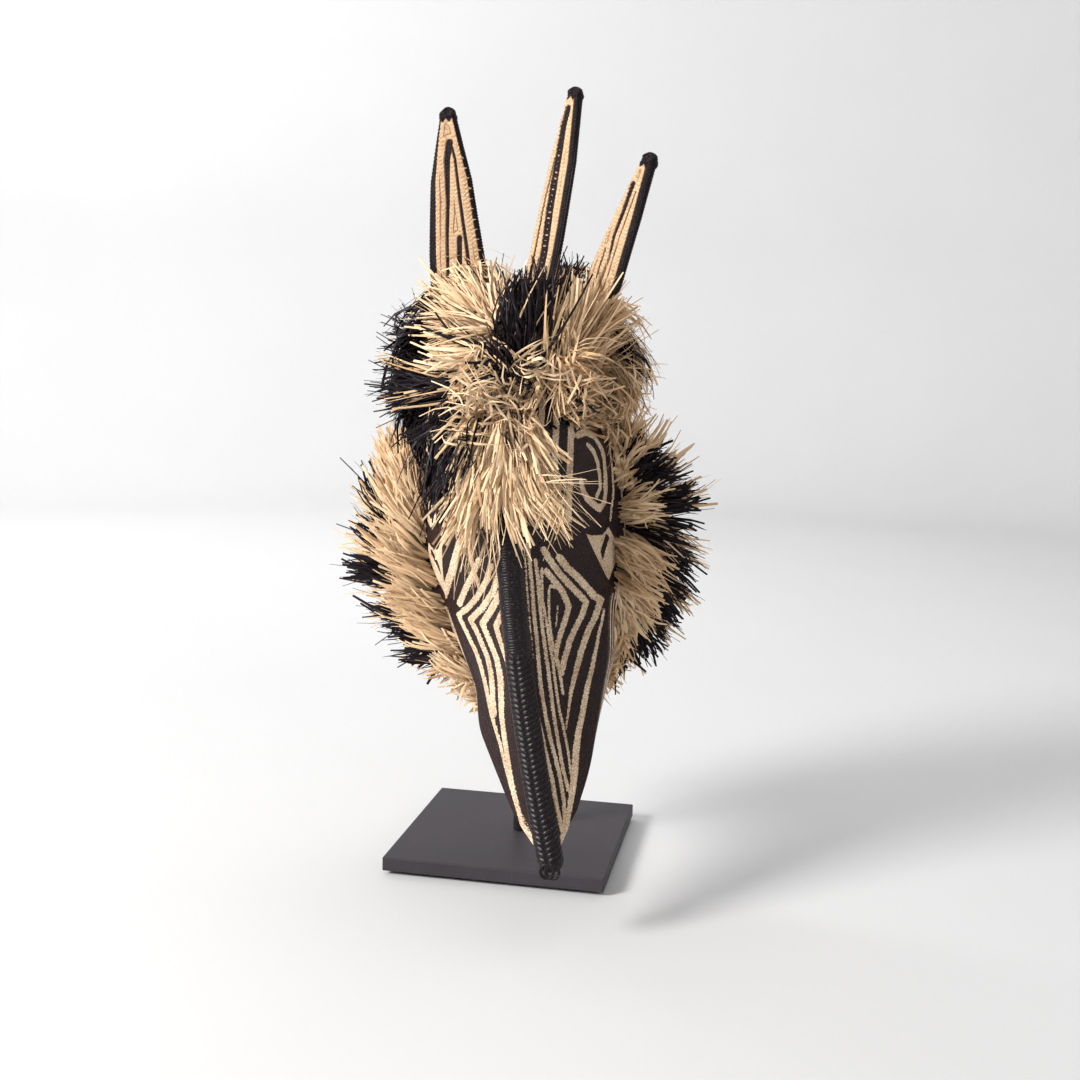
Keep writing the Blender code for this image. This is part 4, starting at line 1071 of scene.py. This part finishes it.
headZones = [     # roots, tips and spread in millimetres across, forward and up
    {"root": (-53, 40, 135), "tips": ((-75, 35, 163), (-87, 30, 150), (-89, 35, 132)),
     "strips": 190, "dye": 1, "wide": (0.7, 1.8), "tone": 0.5, "spread": 7},
    {"root": (-37, 68, 116), "tips": ((-85, 55, 134), (-89, 55, 111), (-88, 60, 100),
                                      (-75, 60, 86)),
     "strips": 430, "dye": 1, "wide": (0.7, 2.0), "tone": 0.5, "spread": 9},
    {"root": (-39, 88, 97), "tips": ((-67, 80, 74), (-55, 88, 42), (-43, 100, 28), (-29, 112, 39)),
     "strips": 300, "dye": 1, "wide": (0.7, 2.0), "tone": 0.5, "spread": 8},
    {"root": (-17, 78, 150), "tips": ((-25, 55, 184), (-48, 50, 180), (-64, 50, 171),
                                      (-66, 55, 158), (-67, 60, 147)),
     "strips": 380, "dye": 0, "wide": (0.8, 2.4), "tone": 0.8, "spread": 7},
    {"root": (-11, 96, 136), "tips": ((-41, 85, 152), (-56, 80, 138), (-50, 88, 126),
                                      (-39, 98, 115), (-27, 110, 106)),
     "strips": 300, "dye": 0, "wide": (0.8, 2.6), "tone": 0.85, "spread": 7},
    {"root": (-8, 88, 145), "tips": ((-22, 60, 185), (-14, 58, 187)),
     "strips": 90, "dye": 0, "wide": (0.7, 2.2), "tone": 0.85, "spread": 4},
    {"root": (6, 112, 129), "tips": ((0, 100, 164), (7, 95, 176), (20, 85, 183), (32, 72, 184)),
     "strips": 520, "dye": 1, "wide": (0.7, 2.0), "tone": 0.5, "spread": 9},
    {"root": (-4, 114, 119), "tips": ((-12, 108, 142), (-18, 108, 131), (0, 120, 103)),
     "strips": 130, "dye": 1, "wide": (0.7, 1.8), "tone": 0.5, "spread": 6},
    {"root": (31, 50, 166), "tips": ((20, 45, 188), (42, 45, 187)),
     "strips": 150, "dye": 1, "wide": (0.7, 1.8), "tone": 0.5, "spread": 7},
    {"root": (26, 110, 123), "tips": ((21, 92, 157), (33, 83, 167), (44, 75, 171)),
     "strips": 340, "dye": 0, "wide": (0.7, 2.2), "tone": 0.5, "spread": 8},
    {"root": (43, 90, 130), "tips": ((42, 70, 169), (56, 60, 174), (67, 55, 167), (70, 55, 149)),
     "strips": 360, "dye": 0, "wide": (0.7, 2.0), "tone": 0.5, "spread": 8},
    {"root": (28, 112, 118), "tips": ((37, 104, 104), (48, 95, 110), (53, 88, 120), (50, 86, 130)),
     "strips": 120, "dye": 0, "wide": (0.6, 1.8), "tone": 0.45, "spread": 6},
    {"root": (49, 70, 124), "tips": ((76, 45, 156), (84, 38, 142), (83, 34, 121), (72, 40, 107)),
     "strips": 200, "dye": 0, "wide": (0.4, 1.2), "tone": 0.55, "spread": 7},
    {"root": (35, 108, 119), "tips": ((23, 120, 95), (38, 113, 94), (52, 102, 99), (60, 92, 112)),
     "strips": 200, "dye": 0, "wide": (0.7, 2.0), "tone": 0.5, "spread": 8},
    {"root": (51, 60, 134), "tips": ((84, 40, 153), (95, 36, 134), (84, 40, 119)),
     "strips": 30, "dye": 0, "wide": (0.3, 0.7), "tone": 0.7, "spread": 6},
    {"root": (54, 52, 119), "tips": ((76, 30, 107), (79, 26, 93), (70, 40, 102)),
     "strips": 90, "dye": 0, "wide": (0.5, 1.5), "tone": 0.45, "spread": 5},
    {"root": (-25, 108, 82), "tips": ((-41, 100, 59), (-36, 112, 42), (-23, 116, 56)),
     "strips": 150, "dye": 1, "wide": (0.7, 1.8), "tone": 0.5, "spread": 7},
    {"root": (23, 118, 60), "tips": ((57, 112, 61), (59, 112, 30), (52, 112, 9)),
     "strips": 24, "dye": 0, "wide": (0.35, 0.9), "tone": 0.95, "spread": 7},
    {"root": (31, 122, 42), "tips": ((32, 128, 2), (40, 126, 12), (25, 130, 9)),
     "strips": 30, "dye": 0, "wide": (0.5, 1.2), "tone": 0.8, "spread": 6},
    {"root": (-18, 118, 27), "tips": ((-10, 126, -15), (-20, 122, -6)),
     "strips": 44, "dye": 0, "wide": (0.4, 1.0), "tone": 0.95, "spread": 4},
]
headHair = {
    "slot": "head_fibre", "node": "head_fringe", "strayDye": 0.07, "perTuft": 14, "tipJitter": 4.2,
    "rootSpread": 0.0024, "zoneSpread": 0.0066, "lockSpread": 0.0042, "toneChange": 0.12,
}
forelock = {      # rows of tufts from low to high, in millimetres on the brow
    "low": 48, "high": 97, "rows": 7, "tufts": 8, "strips": 16, "middle": (-5, -4),
    "half": (24, 17), "fan": 36, "length": (26, 42), "forward": 121, "slope": 0.27,
    "lift": (6, 12), "wide": (0.0007, 0.0025), "tone": 0.82,
}
curls = {         # loose curled strips over the brow
    "low": (-34, 106, 70), "high": (20, 117, 128), "tufts": 55, "strips": 6, "reach": 15,
    "wide": (0.0006, 0.0020), "dyed": 0.18, "pointed": 0.6,
}
cap = {           # tufts over the top, the sides and the back of the head
    "middle": (0.0, 0.050, 0.115), "half": (0.080, 0.060, 0.080), "tufts": 190, "strips": 30,
    "front": 0.30, "lowest": 0.040, "lowestRight": 0.092, "rootSpread": 0.005,
    "tipSpread": 0.006, "wide": (0.0007, 0.0024), "dyedLeft": 0.9, "dyed": 0.15,
}


skin = np.concatenate([maskPoint(np.linspace(-20, 200, 89), np.full(89, along))
                       for along in np.linspace(0.1, 2.0, 39)])


def skinBase(root):               # the shell's nearest point, where a tuft springs from
    apart = np.linalg.norm((skin - root) * (1.0, 0.35, 1.0), axis=1)
    return skin[np.argmin(apart)]


def tiedTuft(dice, root, tip, count, rootSpread, tipSpread, width, bulge, facing, tone, dye,
             pointed=0.3):        # root, tip and bulge are in metres in the mask's frame
    base = place(*skinBase(root))
    root, tip = place(*root), place(*tip)
    bulge = root * 0.7 - tip * 0.2 - base * 0.5 + bulge
    return makeTuft(dice, base, tip, count, rootSpread, tipSpread, width, bulge, facing, tone, dye,
                    pointed)


def zoneTufts(dice, front):
    parts = []
    for zone in headZones:
        tips = np.array(zone["tips"], float)
        tufts = max(3, zone["strips"] // headHair["perTuft"])
        chance = 1 - headHair["strayDye"] if zone["dye"] else headHair["strayDye"]
        for index in range(tufts):
            at = dice.uniform(0, len(tips) - 1)
            low = min(int(at), len(tips) - 2)
            tip = tips[low] + (tips[low + 1] - tips[low]) * (at - low)
            root = np.array(zone["root"]) + dice.normal(0, 1, 3) * (1, 0.5, 1) * zone["spread"]
            tip = tip + dice.normal(0, 1, 3) * headHair["tipJitter"]
            dye = dyed if dice.random() < chance else plain
            wide = tuple(size / 1000 for size in zone["wide"])
            bulge = front * 0.010 + dice.normal(0, 0.004, 3)
            tone = zone["tone"] + dice.uniform(-headHair["toneChange"], headHair["toneChange"])
            parts.append(tiedTuft(dice, root / 1000, tip / 1000, zone["strips"] // tufts,
                                  headHair["rootSpread"], headHair["zoneSpread"], wide, bulge,
                                  front, tone, dye))
    return parts


def forelockTufts(dice, front):
    parts = []
    for row in range(forelock["rows"]):
        share = row / (forelock["rows"] - 1)
        half = np.interp(share, (0, 1), forelock["half"])
        for index in range(forelock["tufts"]):
            side = 2 * (index + dice.uniform(0.1, 0.9)) / forelock["tufts"] - 1
            up = np.interp(share, (0, 1), (forelock["low"], forelock["high"])) \
                + dice.uniform(-4, 4)
            across = np.interp(share, (0, 1), forelock["middle"]) + half * side
            fan = forelock["fan"] * side * (0.8 + 0.2 * (side > 0)) + dice.uniform(-14, 14)
            fan = math.radians(fan)
            length = dice.uniform(*forelock["length"])
            forward = forelock["forward"] - (up - forelock["low"]) * forelock["slope"]
            root = np.array((across, forward - 5 * side ** 2, up))
            tip = root + (length * math.sin(fan), 0, -length * math.cos(fan))
            tip[1] = root[1] + np.interp(share, (0, 1), forelock["lift"]) - 5 * abs(side) ** 3
            tone = forelock["tone"] + dice.uniform(-0.18, 0.14)
            parts.append(tiedTuft(dice, root / 1000, tip / 1000, forelock["strips"],
                                  headHair["rootSpread"], headHair["lockSpread"],
                                  forelock["wide"], front * 0.009, front, tone, plain))
    return parts


def curlTufts(dice, front):
    parts = []
    low, high = np.array(curls["low"]), np.array(curls["high"])
    for index in range(curls["tufts"]):
        root = low + (high - low) * dice.random(3)
        tip = root + dice.normal(0, 1, 3) * curls["reach"] * (0.9, 0.3, 0.7)
        bulge = front * 0.014 + dice.normal(0, 0.007, 3)
        dye = dyed if dice.random() < curls["dyed"] else plain
        parts.append(makeTuft(dice, place(*(root / 1000)), place(*(tip / 1000)), curls["strips"],
                              0.004, 0.006, curls["wide"], bulge, front, 0.8, dye,
                              curls["pointed"]))
    return parts


def headStrips(seed):
    dice = np.random.default_rng(seed)
    front = rimFrame(0, 1, 0) - mask["rim"]
    return joinStrips(zoneTufts(dice, front) + forelockTufts(dice, front) + curlTufts(dice, front))


def capPoint(polar, sides, scale):
    around = np.array((math.sin(polar) * sides[0], math.sin(polar) * sides[1], math.cos(polar)))
    return np.array(cap["middle"]) + np.array(cap["half"]) * scale * around


def capStrips(seed):
    dice = np.random.default_rng(seed)
    parts = []
    for index in range(cap["tufts"]):
        polar = math.acos(1 - 1.45 * (index + 0.5) / cap["tufts"])
        around = index * 2.39996 + dice.uniform(-0.2, 0.2)      # turned by the golden angle
        sides = (math.sin(around), math.cos(around))
        if sides[1] > cap["front"] and polar < 1.9:
            continue                # the front is laid tuft by tuft
        drop = polar + dice.uniform(0.35, 0.6)
        root = capPoint(polar, sides, 0.80)
        tip = capPoint(drop, sides, 1.02 + 0.04 * dice.random())
        atRight = sides[0] > 0.3 and sides[1] > -0.15
        tip[2] = max(tip[2], cap["lowestRight"] if atRight else cap["lowest"])
        outward = place(*capPoint(polar, sides, 1.4)) - place(*capPoint(polar, sides, 0.4))
        outward /= np.linalg.norm(outward)
        chance = cap["dyedLeft"] if sides[0] < -0.45 and polar > 0.7 else cap["dyed"]
        dye = dyed if dice.random() < chance else plain
        parts.append(makeTuft(dice, place(*root), place(*tip), cap["strips"], cap["rootSpread"],
                              cap["tipSpread"], cap["wide"], outward * 0.010, outward, 0.6, dye))
    return joinStrips(parts)


addStrips("headCap", headHair["slot"], headHair["node"], capStrips(21), fibre)
addStrips("headTufts", headHair["slot"], headHair["node"], headStrips(22), fibre)
print("head fringe tied")


# floor, lights and camera

stageForm = {"radius": 2.3, "curve": 0.7, "height": 3.2, "steps": 12}


def addStage():
    deselectAll()
    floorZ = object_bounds()[0].z
    bpy.ops.mesh.primitive_circle_add(vertices=96, radius=stageForm["radius"], fill_type="NGON")
    floor = bpy.context.object
    bpy.ops.object.mode_set(mode="EDIT")
    bpy.ops.mesh.select_all(action="SELECT")
    radius, height = stageForm["radius"], 0.0
    for step in range(1, stageForm["steps"] + 1):
        angle = math.pi / 2 * step / stageForm["steps"]
        newRadius = stageForm["radius"] + stageForm["curve"] * math.sin(angle)
        newHeight = stageForm["curve"] * (1 - math.cos(angle))
        bpy.ops.mesh.extrude_region_move(
            TRANSFORM_OT_translate={"value": (0, 0, newHeight - height)})
        bpy.ops.transform.resize(value=(newRadius / radius, newRadius / radius, 1.0))
        radius, height = newRadius, newHeight
    bpy.ops.mesh.extrude_region_move(
        TRANSFORM_OT_translate={"value": (0, 0, stageForm["height"] - height)})
    bpy.ops.mesh.delete(type="ONLY_FACE")
    bpy.ops.object.mode_set(mode="OBJECT")
    floor.name = "studioFloor"
    points = np.array([corner.co for corner in floor.data.vertices])
    setPoints(floor, points + (0, 0, floorZ))
    smoothPiece(floor, 60)
    made, tree, shader = newMaterial("studioPaper", 0.9)
    spot = node(tree, "TexCoord").outputs["Object"]
    cloud = node(tree, "TexNoise", {"Vector": spot, "Scale": 3.0, "Detail": 2.0})
    setColour(tree, shader, mixColour(tree, cloud.outputs[0], (0.58, 0.58, 0.584, 1),
                                      (0.61, 0.61, 0.614, 1)))
    floor.data.materials.append(made)


aim = tuple(mask["rim"] + (0, -0.03, -0.02))
lights = {
    "keyLight": {"spot": (-1.35, -1.30, 1.20), "target": aim, "size": 0.6, "power": 66,
                 "colour": (1.0, 0.985, 0.965)},
    "fillLight": {"spot": (1.5, -1.2, 0.9), "target": aim, "size": 1.4, "power": 3,
                  "colour": (1, 1, 1)},
    "topLight": {"spot": (0.1, 0.3, 2.2), "target": aim, "size": 1.6, "power": 12,
                 "colour": (1, 1, 1)},
    "paperLight": {"spot": (-1.4, 0.9, 1.9), "target": (-0.7, 3.0, 0.9), "size": 1.6, "power": 46,
                   "colour": (1, 1, 1)},
}


def addLight(name, spec):
    deselectAll()
    bpy.ops.object.light_add(type="AREA", location=spec["spot"])
    light = bpy.context.object
    light.name = name
    light.data.shape = "DISK"
    light.data.size = spec["size"]
    light.data.energy = spec["power"]
    light.data.color = spec["colour"]
    towards = Vector(spec["target"]) - Vector(spec["spot"])
    light.rotation_euler = towards.to_track_quat("-Z", "Y").to_euler()


addStage()
for lightName, lightSpec in lights.items():
    addLight(lightName, lightSpec)
world = bpy.data.worlds.new("studioAir")
bpy.context.scene.world = world
world.use_nodes = True
world.node_tree.nodes["Background"].inputs[0].default_value = (1.0, 1.0, 1.0, 1.0)
world.node_tree.nodes["Background"].inputs[1].default_value = 0.50
bpy.context.scene.view_settings.view_transform = "Standard"      # keeps the dyed fibre black

view = {"spot": standTop + (0.19967, -0.95182, 0.35935), "yaw": -11.05, "pitch": 7.997,
        "roll": 1.365, "lens": 36 * 1329.9 / 1080}


def addCamera():
    yaw, pitch, roll = (math.radians(view[key]) for key in ("yaw", "pitch", "roll"))
    ahead = Vector((math.sin(yaw) * math.cos(pitch), math.cos(yaw) * math.cos(pitch),
                    -math.sin(pitch)))
    right = Vector((math.cos(yaw), -math.sin(yaw), 0))
    up = right.cross(ahead)
    rolledRight = right * math.cos(roll) + up * math.sin(roll)
    rolledUp = up * math.cos(roll) - right * math.sin(roll)
    deselectAll()
    bpy.ops.object.camera_add()
    camera = bpy.context.object
    camera.name = "photoCamera"
    turned = Matrix((rolledRight, rolledUp, -ahead)).transposed().to_4x4()
    turned.translation = Vector(view["spot"])
    camera.matrix_world = turned
    camera.data.sensor_width = 36
    camera.data.lens = view["lens"]
    bpy.context.scene.camera = camera


addCamera()
print("studio set")
